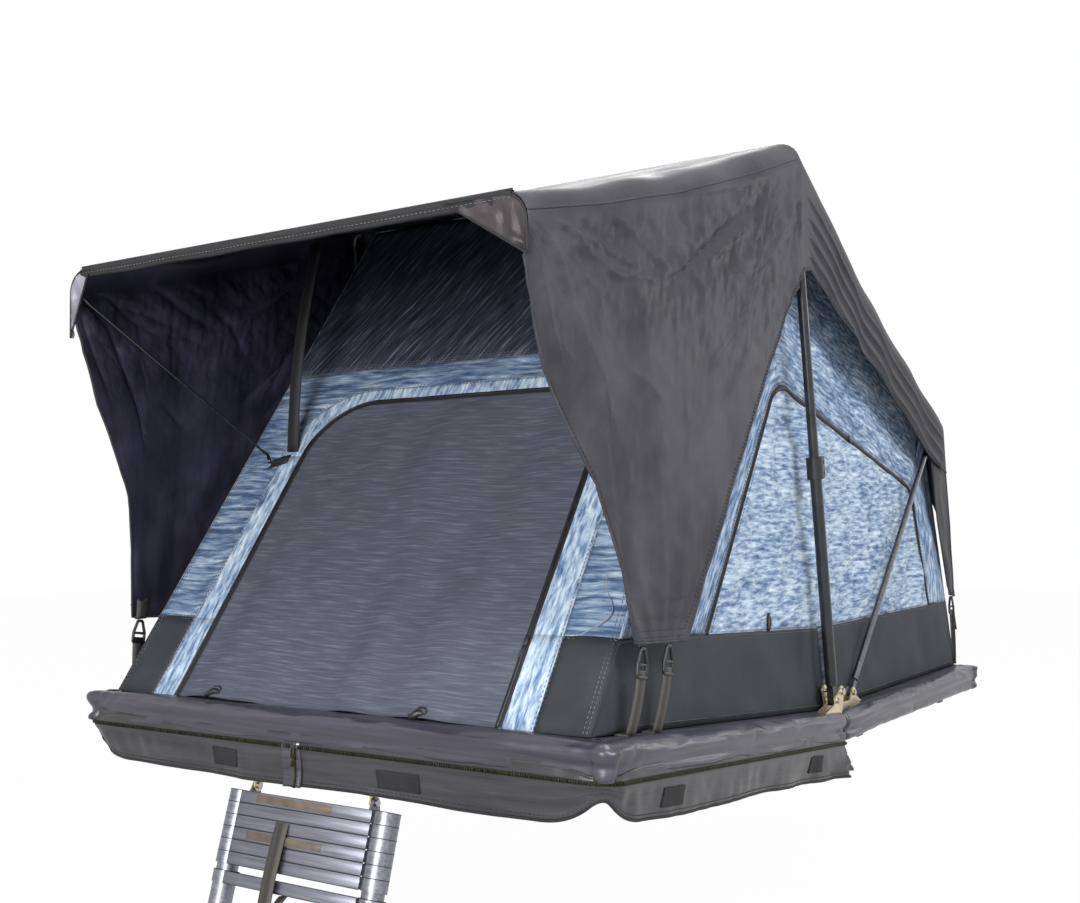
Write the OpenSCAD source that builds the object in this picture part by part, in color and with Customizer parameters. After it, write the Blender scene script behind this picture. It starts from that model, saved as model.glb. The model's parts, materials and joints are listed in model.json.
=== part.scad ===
// Soft fold-out roof top tent, shown open: a mounted half, a fold-out half hinged to its front edge,
// two hoops, a canvas body, a rain fly with a front awning, a zip-on skirt and a telescopic ladder.
// The origin is the middle of the stud pattern, on the underside of the mounting rails. The door faces -Y.

/* [Base] */
// Overall width across the edge rolls
base_w = 1420; // [1300:10:1500]
// Length of each half, from the fold line to the outside of its edge roll
half_l = 1160; // [1080:10:1240]
// Thickness of the board inside the edge frame
board_t = 34; // [26:1:40]
// Wall of the edge frame
frame_wall = 3; // [2:0.5:4]
// Width of the edge frame's flanges
frame_flange = 30; // [22:1:40]
// Thickness of the edge roll on the outside of the frame
roll_out = 18; // [14:1:24]
// How far the edge roll reaches in over the frame
roll_in = 54; // [46:1:60]
// Height of the edge roll above the frame
roll_rise = 27; // [20:1:34]
// How far the edge roll hangs below the frame
roll_drop = 3; // [1:1:8]
// Thickness of the mattress
mattress_t = 58; // [40:2:60]

/* [Rails] */
// Height of a mounting rail
rail_h = 28; // [24:1:34]
// Width of a mounting rail
rail_w = 40; // [34:1:50]
// Length of a mounting rail
rail_l = 1300; // [1100:10:1340]
// Distance between the two rails
rail_spacing = 700; // [600:10:800]
// Distance between the studs along a rail
stud_spacing = 900; // [700:10:1100]
// Diameter of a mounting stud
stud_d = 8; // [6:1:10]
// Length of a stud below the rail
stud_l = 36; // [25:1:50]

/* [Hinge] */
// Height of the fold axis above the edge frame
fold_rise = 75; // [70:1:85]
// Angle by which the fold-out half stands up at its open stop
open_tilt = 4.7; // [2:0.1:7]
// Diameter of the hinge pin
hinge_pin_d = 10; // [8:1:12]
// Diameter of the hoop pivot bolts
hoop_bolt_d = 8; // [6:1:10]
// Thickness of the hinge plates
hinge_plate = 4; // [3:0.5:4]
// Distance from the fold line forward to the main hoop's pivot
main_pivot_ahead = 30; // [26:1:40]
// Height of the main hoop's pivot above the edge frame
main_pivot_rise = 54; // [50:1:60]
// Distance from the fold line back to the rear hoop's pivot
rear_pivot_behind = 160; // [120:5:200]
// Height of the rear hoop's pivot above the edge frame
rear_pivot_rise = 52; // [48:1:58]

/* [Hoops] */
// Forward distance of the ridge bar from the fold line
ridge_ahead = 200; // [160:5:240]
// Height of the ridge bar above the mounting face
ridge_z = 1425; // [1300:5:1500]
// Backward distance of the rear hoop's bar from the fold line
rear_bar_behind = 975; // [900:5:1020]
// Height of the rear hoop's bar above the mounting face
rear_bar_z = 862; // [780:2:920]
// Diameter of the main hoop's lower legs
leg_d = 28; // [26:0.5:28]
// Wall of the main hoop's lower legs
leg_wall = 2; // [1.5:0.1:2.5]
// Length of the main hoop's lower legs, from the pivot
leg_l = 565; // [480:5:620]
// Diameter of the rear hoop's tube
rear_tube_d = 16; // [12:0.5:16]
// Bend radius of the hoops' corners
hoop_bend = 45; // [40:5:80]
// Radial clearance between the telescoping tubes
tube_gap = 0.3; // [0.2:0.05:0.5]

/* [Canvas] */
// Gap between the hinge plates and the canvas
canvas_clear = 4; // [4:1:20]
// Inward lean of the side walls, per unit of height
canvas_lean = 0.036; // [0.02:0.002:0.06]
// Distance from the fold line forward to the front wall's foot
front_foot = 1113; // [1020:1:1113]
// Distance from the fold line back to the rear wall's foot
rear_foot = 1113; // [1020:1:1113]
// Thickness of the canvas
canvas_t = 2.5; // [1.5:0.5:4]
// Height of the dark lower band above the edge roll
band_h = 195; // [150:5:230]
// Half width of the mesh door at its foot
door_half_w = 440; // [380:5:480]
// Height of the mesh door along the wall
door_l = 852; // [760:4:900]
// Corner radius of the mesh door
door_r = 165; // [100:5:220]
// Height along the wall where the dark upper panel starts
upper_panel_at = 970; // [920:5:1050]
// Width of the zips
zip_w = 12; // [8:1:18]
// Height of the zips above the cloth
zip_t = 2.5; // [1.5:0.5:4]

/* [Fly] */
// Forward distance of the awning bar from the fold line
awning_ahead = 1254; // [1180:2:1300]
// Height of the awning bar above the mounting face
awning_z = 1148; // [1080:2:1200]
// Half width of the awning bar
awning_half_w = 606; // [560:2:640]
// Diameter of the awning bar
awning_d = 12; // [10:0.5:16]
// Diameter of the awning rods
awning_rod_d = 6; // [5:0.5:9]
// Thickness of the fly's cloth
fly_t = 2; // [1.5:0.5:3]
// Sag of the fly between its bars
fly_sag = 22; // [0:1:40]
// Width of the tie-down webbing
strap_w = 25; // [20:1:30]
// Thickness of the tie-down webbing
strap_t = 2; // [1.5:0.5:3]

/* [Skirt] */
// Height of the skirt's zip
skirt_zip_h = 7; // [5:0.5:10]
// Depth of the skirt below its zip
skirt_h = 74; // [60:1:90]
// Length of one fold of the skirt
skirt_wave_l = 270; // [200:5:340]
// Depth of the folds at the skirt's hem
skirt_wave = 7; // [2:0.5:9]
// Thickness of the skirt's cloth
skirt_t = 2; // [1.5:0.5:3]
// Width of the slit in the skirt's front
skirt_slit = 8; // [4:1:16]

/* [Ladder] */
// Number of sliding sections, the top one included
ladder_count = 7; // [7]
// Distance between the stile centres
stile_spacing = 394; // [360:2:420]
// Outside radius of the top section's stiles
stile_r = 15; // [13:0.5:16]
// Wall of the stiles
stile_wall = 1.3; // [1.1:0.1:1.6]
// Outside radius of the collars
collar_r = 27; // [26.5:0.5:30]
// Spacing of the rungs when the ladder is closed
rung_pitch = 25; // [24:0.5:30]
// Depth of a rung
rung_d = 50; // [40:1:52]
// Length of a stile below its collar
stile_l = 330; // [315:5:400]
// Extra gap above the last sliding section
last_gap = 14; // [4:1:30]
// Lean of the ladder from upright
ladder_lean = 18; // [10:1:25]

/* [Hidden] */
$fn = 48;

// Clearance between pieces that lie against each other
seat = 0.3;
// Overrun of a cutting shape past the faces that it cuts
over = 5;

// Levels and lines of the base
fold_y = -half_l / 2;
frame_t = board_t + 2 * frame_wall;
frame_z = rail_h;
frame_top = frame_z + frame_t;
roll_top = frame_top + roll_rise;
fold_z = frame_top + fold_rise;
frame_half_w = base_w / 2 - roll_out;
frame_end = half_l - roll_out;
fold_gap = 1.5;

// Lanes of the hoops and hinge plates, measured from the middle
main_tongue = 15.4;
rear_tongue = 9.4;
tongue_gap = 0.3;
lane_gap = 4;
main_reach = main_tongue / 2 + tongue_gap + hinge_plate;
rear_reach = rear_tongue / 2 + tongue_gap + hinge_plate;
main_lane = frame_half_w - main_reach;
rear_lane = main_lane - main_reach - lane_gap - rear_reach;
canvas_half_w = rear_lane - rear_reach - canvas_clear;

// Places of the hoops' pivots and bars
main_pivot_flat = [fold_y - main_pivot_ahead, frame_top + main_pivot_rise];
main_pivot = tilt(main_pivot_flat);
rear_pivot = [fold_y + rear_pivot_behind, frame_top + rear_pivot_rise];
main_lean = atan2(main_pivot[0] - fold_y + ridge_ahead, ridge_z - main_pivot[1]);
rear_lean = -atan2(fold_y + rear_bar_behind - rear_pivot[0], rear_bar_z - rear_pivot[1]);
main_l = round(norm([fold_y - ridge_ahead, ridge_z] - main_pivot));
rear_l = round(norm([fold_y + rear_bar_behind, rear_bar_z] - rear_pivot));
ridge = main_pivot + main_l * [-sin(main_lean), cos(main_lean)];
rear_bar = rear_pivot + rear_l * [-sin(rear_lean), cos(rear_lean)];
bow_r = leg_d / 2 - leg_wall - tube_gap;
rear_tube_r = rear_tube_d / 2;
tube_start = 42;

// Turns a flat-drawn place of the fold-out half, given as y and z, up to the open stop
function tilt(p) = let (a = open_tilt, v = p - [fold_y, fold_z])
    [fold_y + v[0] * cos(a) + v[1] * sin(a), fold_z - v[0] * sin(a) + v[1] * cos(a)];

// Points along a circular arc
function arc(c, r, from, to, steps) =
    [for (i = [0 : steps]) let (a = from + (to - from) * i / steps) c + r * [cos(a), sin(a)]];

// The value at a place on a broken line of [place, value] pairs
function along(line, at, i = 0) = at <= line[i][0] ? line[i][1]
    : i + 1 >= len(line) ? line[i][1]
    : at < line[i + 1][0]
        ? line[i][1] + (line[i + 1][1] - line[i][1]) * (at - line[i][0]) / (line[i + 1][0] - line[i][0])
        : along(line, at, i + 1);

module fold_out_half() {
    translate([0, fold_y, fold_z]) rotate([-open_tilt, 0, 0]) translate([0, -fold_y, -fold_z]) children();
}

// Draws its children on the right and mirrors them to the left
module both_sides() {
    children();
    mirror([1, 0, 0]) children();
}

// A plate in the Y-Z plane from an outline of [y, z], between two distances from the middle
module side_plate(x0, x1) {
    translate([x0, 0, 0]) rotate([90, 0, 90]) linear_extrude(x1 - x0) children();
}

// A round bar along X between two distances from the middle
module cross_bar(x0, x1, r, at) {
    translate([x0, at[0], at[1]]) rotate([0, 90, 0]) cylinder(r = r, h = x1 - x0);
}

// A closed thin sheet from a grid of points, thickened along its own normals
function grid_normal(g, i, j) = let (
    n = len(g) - 1,
    m = len(g[0]) - 1,
    a = g[min(i + 1, n)][j] - g[max(i - 1, 0)][j],
    b = g[i][min(j + 1, m)] - g[i][max(j - 1, 0)],
    c = cross(a, b)) c / norm(c);

module cloth_sheet(g, t) {
    n = len(g);
    m = len(g[0]);
    size = n * m;
    inner = [for (i = [0 : n - 1]) for (j = [0 : m - 1]) g[i][j]];
    outer = [for (i = [0 : n - 1]) for (j = [0 : m - 1]) g[i][j] + t * grid_normal(g, i, j)];
    cells = [for (i = [0 : n - 2]) for (j = [0 : m - 2]) let (c = i * m + j) [c, c + 1, c + m, c + m + 1]];
    rim = concat([for (j = [0 : m - 1]) j], [for (i = [1 : n - 1]) i * m + m - 1],
        [for (j = [m - 2 : -1 : 0]) (n - 1) * m + j], [for (i = [n - 2 : -1 : 1]) i * m]);
    k = len(rim);
    low = [for (c = cells) each [[c[0], c[2], c[1]], [c[1], c[2], c[3]]]];
    high = [for (f = low) [f[0] + size, f[2] + size, f[1] + size]];
    edge = [for (i = [0 : k - 1]) let (a = rim[i], b = rim[(i + 1) % k])
        each [[a, b, a + size], [b, b + size, a + size]]];
    polyhedron(concat(inner, outer), [for (f = concat(low, high, edge)) [f[0], f[2], f[1]]]);
}

// Mounting rails: open channels along X whose lips hold the stud heads
rail_wall = 3;
rail_slot = stud_d + 2.6;
stud_head_w = 1.75 * stud_d;
stud_head_h = 0.65 * stud_d;
rail_bolt_x = [-520, 0, 520];
rail_bolt_r = 4;
rail_bolt_head_r = 9;
rail_bolt_head_h = 3;

module rail_section() {
    difference() {
        translate([-rail_w / 2, 0]) square([rail_w, rail_h]);
        translate([-rail_w / 2 + rail_wall, rail_wall])
            square([rail_w - 2 * rail_wall, rail_h - 2 * rail_wall]);
        translate([-rail_slot / 2, -over]) square([rail_slot, rail_wall + 2 * over]);
    }
}

module at_rails() {
    for (s = [-1, 1]) translate([0, s * rail_spacing / 2, 0]) children();
}

module mounting_rails() color("silver") at_rails() difference() {
    rotate([90, 0, 90]) linear_extrude(rail_l, center = true) rail_section();
    for (x = rail_bolt_x) translate([x, 0, rail_h - rail_wall - over])
        cylinder(r = rail_bolt_r + seat, h = 2 * over + rail_wall);
}

module rail_end_caps() color("#202124") at_rails() both_sides() {
    translate([rail_l / 2, -rail_w / 2, 0]) cube([3, rail_w, rail_h]);
    translate([rail_l / 2 - 12, -rail_w / 2 + rail_wall + seat, rail_h / 2])
        cube([12, rail_w - 2 * rail_wall - 2 * seat, rail_h / 2 - rail_wall - seat]);
}

// Carriage bolts that hold a rail to the board, with a nut inside the rail
module rail_bolts() color("#b9bcc0") at_rails() for (x = rail_bolt_x) translate([x, 0, 0]) {
    nut_h = 6.5;
    nut_top = rail_h - rail_wall;
    translate([0, 0, nut_top - nut_h]) cylinder(r = 7.5, h = nut_h, $fn = 6);
    translate([0, 0, nut_top - nut_h])
        cylinder(r = rail_bolt_r, h = frame_top - frame_wall - nut_top + nut_h);
    translate([0, 0, frame_top - frame_wall - rail_bolt_head_h])
        cylinder(r = rail_bolt_head_r, h = rail_bolt_head_h);
}

// Studs that stand down out of the rails, with their heads on the rails' lips
module rail_studs() color("#c8cacc") at_rails() both_sides() translate([stud_spacing / 2, 0, 0]) {
    translate([0, 0, -stud_l]) cylinder(d = stud_d, h = stud_l + rail_wall + 1);
    translate([0, 0, rail_wall]) cylinder(d = stud_head_w / cos(30), h = stud_head_h, $fn = 6);
}

// Base halves, drawn flat: side is 1 for the mounted half and -1 for the fold-out half
module half_block(side, half_w, near, far, z0, z1) {
    y0 = fold_y + (side > 0 ? near : -far);
    translate([-half_w, y0, z0]) cube([2 * half_w, far - near, z1 - z0]);
}

module board(side) {
    half_block(side, frame_half_w - frame_wall, fold_gap + frame_wall, frame_end - frame_wall,
        frame_z + frame_wall, frame_top - frame_wall);
}

module edge_frame(side) difference() {
    half_block(side, frame_half_w, fold_gap, frame_end, frame_z, frame_top);
    board(side);
    half_block(side, frame_half_w - frame_flange, fold_gap + frame_flange, frame_end - frame_flange,
        frame_z - over, frame_top + over);
}

module rear_board() color("#9aa0a3") difference() {
    board(1);
    at_rails() for (x = rail_bolt_x) {
        translate([x, 0, frame_z]) cylinder(r = rail_bolt_r + seat, h = frame_t);
        translate([x, 0, frame_top - frame_wall - rail_bolt_head_h])
            cylinder(r = rail_bolt_head_r + seat, h = over + frame_wall);
    }
}

module rear_edge_frame() color("#b5b8ba") edge_frame(1);

module front_board() color("#9aa0a3") fold_out_half() board(-1);

module front_edge_frame() color("#b5b8ba") fold_out_half() edge_frame(-1);

// Edge roll: a soft sleeve over the frame's edge on three sides, mitred at the corners
roll_low = frame_z - roll_drop;
roll_corner_out = 16;
roll_corner_in = 8;

module roll_section() {
    polygon(concat(
        [[seat, roll_low]],
        arc([roll_out - roll_corner_in, roll_low + roll_corner_in], roll_corner_in, -90, 0, 4),
        arc([roll_out - roll_corner_out, roll_top - roll_corner_out], roll_corner_out, 0, 90, 6),
        arc([-roll_in + roll_corner_in, roll_top - roll_corner_in], roll_corner_in, 90, 180, 3),
        [[-roll_in, frame_top + seat], [seat, frame_top + seat]]));
}

// Plan of one mitred run of the roll on the right side, from the fold line outwards
module roll_runs(side) {
    far = frame_end;
    both_sides() intersection() {
        translate([frame_half_w, fold_y, 0]) rotate([90, 0, 0])
            translate([0, 0, side > 0 ? -half_l - over : fold_gap])
                linear_extrude(half_l + over - fold_gap) roll_section();
        linear_extrude(2 * roll_top) polygon([
            [frame_half_w - roll_in - over, fold_y],
            [frame_half_w + roll_out + over, fold_y],
            [frame_half_w + roll_out + over, fold_y + side * (far + roll_out + over)],
            [frame_half_w - roll_in - over, fold_y + side * (far - roll_in - over)]]);
    }
    intersection() {
        translate([0, fold_y + side * far, 0]) rotate([90, 0, side > 0 ? 90 : -90])
            linear_extrude(base_w + 2 * over, center = true) roll_section();
        linear_extrude(2 * roll_top) polygon([
            [-frame_half_w - roll_out - over, fold_y + side * (far + roll_out + over)],
            [frame_half_w + roll_out + over, fold_y + side * (far + roll_out + over)],
            [frame_half_w - roll_in - over, fold_y + side * (far - roll_in - over)],
            [-frame_half_w + roll_in + over, fold_y + side * (far - roll_in - over)]]);
    }
}

// Room for the hinge leaves in the roll
front_leaf_l = 150;
rear_leaf_l = 250;
leaf_notch = rear_lane - rear_reach - 3;
leaf_notch_end = main_lane + main_reach + 3;

module edge_roll(side, leaf_l) difference() {
    roll_runs(side);
    both_sides() translate([leaf_notch, side > 0 ? fold_y - over : fold_y - leaf_l - 4, frame_top - over])
        cube([leaf_notch_end - leaf_notch, leaf_l + 4 + over, 2 * roll_rise]);
}

module rear_edge_roll() color("#55535c") edge_roll(1, rear_leaf_l);

module front_edge_roll() color("#55535c") fold_out_half() edge_roll(-1, front_leaf_l);

// Hinge leaves: a foot on the edge frame and two cheeks that hold a hoop's tongue and the hinge pin
boss_r = 14;
foot_t = 4;

module bores(at, r) translate(at) circle(r = r);

module front_leaf_outline() difference() {
    union() {
        translate([fold_y, fold_z]) circle(r = boss_r);
        translate(main_pivot_flat) circle(r = boss_r);
        polygon([[fold_y - front_leaf_l, frame_top], [fold_y - front_leaf_l, frame_top + 12],
            main_pivot_flat + [-boss_r * sin(60), -boss_r * cos(60)], main_pivot_flat + [0, boss_r],
            [fold_y, fold_z + boss_r], [fold_y + boss_r, fold_z], [fold_y - 6, frame_top]]);
    }
    bores([fold_y, fold_z], hinge_pin_d / 2 + 0.06);
    bores(main_pivot_flat, hoop_bolt_d / 2 + 0.06);
}

module rear_leaf_outline() difference() {
    union() {
        translate([fold_y, fold_z]) circle(r = boss_r);
        translate(rear_pivot) circle(r = boss_r);
        polygon([[fold_y + 6, frame_top], [fold_y - boss_r, fold_z], [fold_y, fold_z + boss_r],
            [fold_y + 40, frame_top + 40], rear_pivot + [-30, -16],
            rear_pivot + [-boss_r * sin(60), boss_r * cos(60)],
            rear_pivot + [boss_r * sin(60), -boss_r * cos(60)], [fold_y + rear_leaf_l, frame_top + 8],
            [fold_y + rear_leaf_l, frame_top]]);
    }
    bores([fold_y, fold_z], hinge_pin_d / 2 + 0.06);
    bores(rear_pivot, hoop_bolt_d / 2 + 0.06);
}

module cheeks(lane, tongue) {
    inner = tongue / 2 + tongue_gap;
    side_plate(lane - inner - hinge_plate, lane - inner) children();
    side_plate(lane + inner, lane + inner + hinge_plate) children();
}

module rear_hinge_leaves() color("#c9b77a") both_sides() {
    cheeks(rear_lane, rear_tongue) rear_leaf_outline();
    translate([leaf_notch + 1, fold_y + 6, frame_top])
        cube([frame_half_w - leaf_notch - 1, rear_leaf_l - 6, foot_t]);
}

module front_hinge_leaves() color("#c9b77a") fold_out_half() both_sides() {
    cheeks(main_lane, main_tongue) front_leaf_outline();
    translate([main_lane - main_reach, fold_y - front_leaf_l, frame_top])
        cube([2 * main_reach, front_leaf_l - 6, foot_t]);
}

// A bolt along X through a pair of cheeks: shank, round head outside and hexagon nut inside
module cheek_bolt(x0, x1, d, at) {
    head = 0.6 * d;
    nut = 0.28 * d;
    cross_bar(x0, x1, d / 2, at);
    cross_bar(x1, x1 + head, 0.85 * d, at);
    translate([x0 - nut, at[0], at[1]]) rotate([0, 90, 0]) cylinder(r = 0.95 * d, h = nut, $fn = 6);
}

module hinge_pins() color("#b39d5c") both_sides()
    cheek_bolt(rear_lane - rear_reach - seat, main_lane + main_reach + seat, hinge_pin_d, [fold_y, fold_z]);

// A hoop's pivot bolt through its pair of cheeks, with a round head on the outside
module pivot_bolt(lane, reach, at) {
    cross_bar(lane - reach, lane + reach + 1, hoop_bolt_d / 2, at);
    cross_bar(lane + reach + seat / 3, lane + reach + 0.6 * hoop_bolt_d, 0.85 * hoop_bolt_d, at);
}

module main_hoop_bolts() color("#b39d5c") fold_out_half() both_sides()
    pivot_bolt(main_lane, main_reach, main_pivot_flat);

module rear_hoop_bolts() color("#b39d5c") both_sides() pivot_bolt(rear_lane, rear_reach, rear_pivot);

// Mattress halves
mattress_side = 20;
mattress_end = 40;

module mattress(side) {
    half_block(side, canvas_half_w - mattress_side, fold_gap, front_foot - mattress_end,
        frame_top + seat, frame_top + mattress_t);
}

module rear_mattress() color("#8d9093") mattress(1);

module front_mattress() color("#8d9093") fold_out_half() mattress(-1);

// Main hoop: drawn along its legs, with the pivot at its own origin
module main_hoop() {
    translate([0, main_pivot[0], main_pivot[1]]) rotate([main_lean, 0, 0]) children();
}

module leg_tube(r, wall, z0, z1) {
    translate([0, 0, z0]) difference() {
        cylinder(r = r, h = z1 - z0);
        translate([0, 0, -over]) cylinder(r = r - wall, h = z1 - z0 + 2 * over);
    }
}

module main_hoop_legs() color("#1d1e20") main_hoop() both_sides() translate([main_lane, 0, 0])
    leg_tube(leg_d / 2, leg_wall, tube_start, leg_l);

// End plugs: a flat tongue on the pivot bolt and a spigot inside the leg
plug_r = 13;
spigot_l = 30;

module main_hoop_plugs() color("#151618") main_hoop() both_sides() difference() {
    union() {
        side_plate(main_lane - main_tongue / 2, main_lane + main_tongue / 2) union() {
            circle(r = plug_r);
            translate([-plug_r, 0]) square([2 * plug_r, tube_start - 4]);
        }
        translate([main_lane, 0, tube_start - 4]) cylinder(d = leg_d, h = 4);
        translate([main_lane, 0, tube_start]) cylinder(r = leg_d / 2 - leg_wall - 0.05, h = spigot_l);
    }
    cross_bar(main_lane - main_tongue, main_lane + main_tongue, hoop_bolt_d / 2 + 0.06, [0, 0]);
}

// Leg clamps: a split collar on the leg's top end, with two screws through its lug
clamp_r = 20;
clamp_l = 52;
clamp_over = 26;
clamp_lug = [12, 24];
clamp_slit = 2;
clamp_screw_r = 3;
clamp_screw_z = [12, 38];

module leg_clamp() difference() {
    union() {
        cylinder(r = clamp_r, h = clamp_l);
        translate([-clamp_lug[0], 0, 0]) cube([2 * clamp_lug[0], clamp_r + clamp_lug[1] / 2, clamp_l]);
    }
    translate([0, 0, -over]) cylinder(r = leg_d / 2 + 0.05, h = clamp_over + over);
    cylinder(r = bow_r + tube_gap, h = clamp_l + over);
    translate([-clamp_slit / 2, 0, -over]) cube([clamp_slit, clamp_r + clamp_lug[1], clamp_l + 2 * over]);
    for (z = clamp_screw_z)
        cross_bar(-clamp_r, clamp_r, clamp_screw_r + 0.05, [clamp_r + clamp_lug[1] / 4, z]);
}

module leg_clamps() color("#141517") main_hoop() both_sides()
    translate([main_lane, 0, leg_l - clamp_over]) leg_clamp();

module clamp_screws() color("#c3c5c8") main_hoop() both_sides() translate([main_lane, 0, leg_l - clamp_over])
    for (z = clamp_screw_z) {
        at = [clamp_r + clamp_lug[1] / 4, z];
        cross_bar(-clamp_lug[0] - 4, clamp_lug[0], clamp_screw_r, at);
        cross_bar(clamp_lug[0], clamp_lug[0] + 4, 5, at);
        translate([-clamp_lug[0] - 4, at[0], at[1]]) rotate([0, 90, 0]) cylinder(r = 5.5, h = 4, $fn = 6);
    }

// A hoop's two legs, bent corners and bar, drawn upright
module hoop(lane, r, bend, z0, z1) {
    both_sides() {
        translate([lane, 0, z0]) cylinder(r = r, h = z1 - bend - z0);
        translate([lane - bend, 0, z1 - bend]) rotate([90, 0, 0])
            rotate_extrude(angle = 90) translate([bend, 0]) circle(r = r);
    }
    cross_bar(-lane + bend, lane - bend, r, [0, z1]);
}

bow_inside = 190;
bow_start = leg_l - bow_inside;

module main_hoop_bow() color("#232427") main_hoop() hoop(main_lane, bow_r, hoop_bend, bow_start, main_l);

// Rear hoop, with flattened ends on its pivot bolts
module rear_hoop_frame() {
    translate([0, rear_pivot[0], rear_pivot[1]]) rotate([rear_lean, 0, 0]) children();
}

module rear_hoop() color("#6e7176") rear_hoop_frame()
    hoop(rear_lane, rear_tube_r, hoop_bend, tube_start, rear_l);

module rear_hoop_ends() color("#5d6064") rear_hoop_frame() both_sides() difference() {
    side_plate(rear_lane - rear_tongue / 2, rear_lane + rear_tongue / 2) union() {
        circle(r = 11);
        translate([-rear_tube_r, 0]) square([2 * rear_tube_r, tube_start]);
    }
    cross_bar(rear_lane - rear_tongue, rear_lane + rear_tongue, hoop_bolt_d / 2 + 0.06, [0, 0]);
}

// Canvas body: a block with leaning sides, cut into walls that lie edge to edge. The outline's edges
// are the front wall, the two halves of the sagging roof, the rear wall and the two halves of the floor.
bar_seat = 2.5;
rear_top_drop = 26;
front_foot_at = tilt([fold_y - front_foot, roll_top + seat]);
canvas_ridge = [ridge[0], ridge[1] - bow_r - bar_seat];
canvas_rear_top = rear_bar - [rear_tube_r, 0.8 * rear_tube_r]
    + rear_top_drop * [sin(rear_lean), -cos(rear_lean)];
roof_mid = (canvas_ridge + canvas_rear_top) / 2 - [0, fly_sag + 4];
canvas_outline = [front_foot_at, canvas_ridge, roof_mid, canvas_rear_top,
    [fold_y + rear_foot, roll_top + seat], tilt([fold_y, roll_top + seat])];
flush = [0, 0, 0, 0, 0, 0];
wide = -over * [1, 1, 1, 1, 1, 1];
thick = canvas_t;

function wall_x(z) = canvas_half_w - canvas_lean * (z - roll_top);
function edge_of(o, i) = o[(i + 1) % len(o)] - o[i];
function edge_inward(o, i) = let (d = edge_of(o, i)) [d[1], -d[0]] / norm(d);
function cross_2d(a, b) = a[0] * b[1] - a[1] * b[0];
function line_cross(p, d, q, e) = p + d * (cross_2d(q - p, e) / cross_2d(d, e));
function inset_outline(o, by) = [for (i = [0 : len(o) - 1]) let (h = (i + len(o) - 1) % len(o))
    line_cross(o[h] + by[h] * edge_inward(o, h), edge_of(o, h),
        o[i] + by[i] * edge_inward(o, i), edge_of(o, i))];

// Section of the leaning sides, across the tent
module lean_section(side_in) {
    low = 0;
    high = 2 * ridge_z;
    polygon([[-wall_x(low) + side_in, low], [wall_x(low) - side_in, low],
        [wall_x(high) - side_in, high], [-wall_x(high) + side_in, high]]);
}

module canvas_block(side_in, by) intersection() {
    side_plate(-base_w, base_w) polygon(inset_outline(canvas_outline, by));
    rotate([90, 0, 0]) linear_extrude(4 * half_l, center = true) lean_section(side_in);
}

module side_skins() difference() {
    canvas_block(0, flush);
    canvas_block(thick, wide);
}

module front_skin() difference() {
    canvas_block(thick, flush);
    canvas_block(thick - over, wide + (thick + over) * [1, 0, 0, 0, 0, 0]);
}

module roof_skin() difference() {
    canvas_block(thick, thick * [1, 0, 0, 0, 0, 0]);
    canvas_block(thick - over, wide + (thick + over) * [0, 1, 1, 0, 0, 0]);
}

module rear_skin() difference() {
    canvas_block(thick, thick * [1, 1, 1, 0, 0, 0]);
    canvas_block(thick - over, wide + (thick + over) * [0, 0, 0, 1, 0, 0]);
}

// Everything below the band's seam, over both halves
module band_zone() {
    far = half_l + 4 * over;
    fold_out_half() half_block(-1, base_w, -over, far, 0, roll_top + band_h);
    half_block(1, base_w, -over, far, 0, roll_top + band_h);
}

// Draws on the front wall: X across, Y up the slope from its foot, Z outwards
wall_rise = canvas_ridge - front_foot_at;
front_wall_angle = atan2(wall_rise[1], wall_rise[0]);

module on_front_wall() {
    translate([0, front_foot_at[0], front_foot_at[1]]) rotate([front_wall_angle, 0, 0]) children();
}

// Door outline: straight foot, slightly drawn-in sides and a round-cornered top
door_foot = 12;
door_draw_in = 14;

module door_outline(grow) {
    w = door_half_w - door_draw_in + grow;
    r = door_r + grow;
    top = door_l + grow;
    foot = door_foot - grow;
    polygon(concat([[-door_half_w - grow, foot], [door_half_w + grow, foot]],
        arc([w - r, top - r], r, 0, 90, 8), arc([-w + r, top - r], r, 90, 180, 8)));
}

module door_cut() on_front_wall() translate([0, 0, -4 * canvas_t]) linear_extrude(8 * canvas_t) door_outline(0);

module upper_panel_cut() on_front_wall() translate([-base_w / 2, upper_panel_at, -base_w / 4])
    cube([base_w, norm(wall_rise), base_w / 2]);

module front_wall() color("#5d7f9f") difference() {
    front_skin();
    band_zone();
    door_cut();
    upper_panel_cut();
}

module upper_front_panel() color("#1b1c20") intersection() {
    front_skin();
    upper_panel_cut();
}

module door_mesh() color("#3f4144") intersection() {
    front_skin();
    door_cut();
}

module door_zip_line() intersection() {
    difference() {
        door_outline(zip_w / 2);
        door_outline(-zip_w / 2);
    }
    translate([-base_w / 2, door_foot + zip_w]) square([base_w, norm(wall_rise)]);
}

module door_zip() color("#101113") on_front_wall() translate([0, 0, seat])
    linear_extrude(zip_t) door_zip_line();

// Window outline on the side walls, given as y and z: slanted front, arched top, rounded rear corner
window_low = band_h + roll_top - 5;
window_ahead = 622;
window_behind = 887;
window_peak_ahead = 130;
window_peak_z = 770;
window_peak_r = 110;
window_corner_behind = 720;
window_corner_z = 570;
window_corner_r = 90;

module window_outline(grow) {
    polygon(concat(
        [[fold_y - window_ahead - 1.2 * grow, window_low - grow]],
        arc([fold_y - window_peak_ahead, window_peak_z], window_peak_r + grow, 150, 62, 7),
        arc([fold_y + window_corner_behind, window_corner_z], window_corner_r + grow, 62, 12, 4),
        [[fold_y + window_behind + 1.1 * grow, window_low - grow]]));
}

module window_cut(side) side_plate(side > 0 ? canvas_half_w / 2 : -canvas_half_w - over,
    side > 0 ? canvas_half_w + over : -canvas_half_w / 2) window_outline(0);

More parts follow.
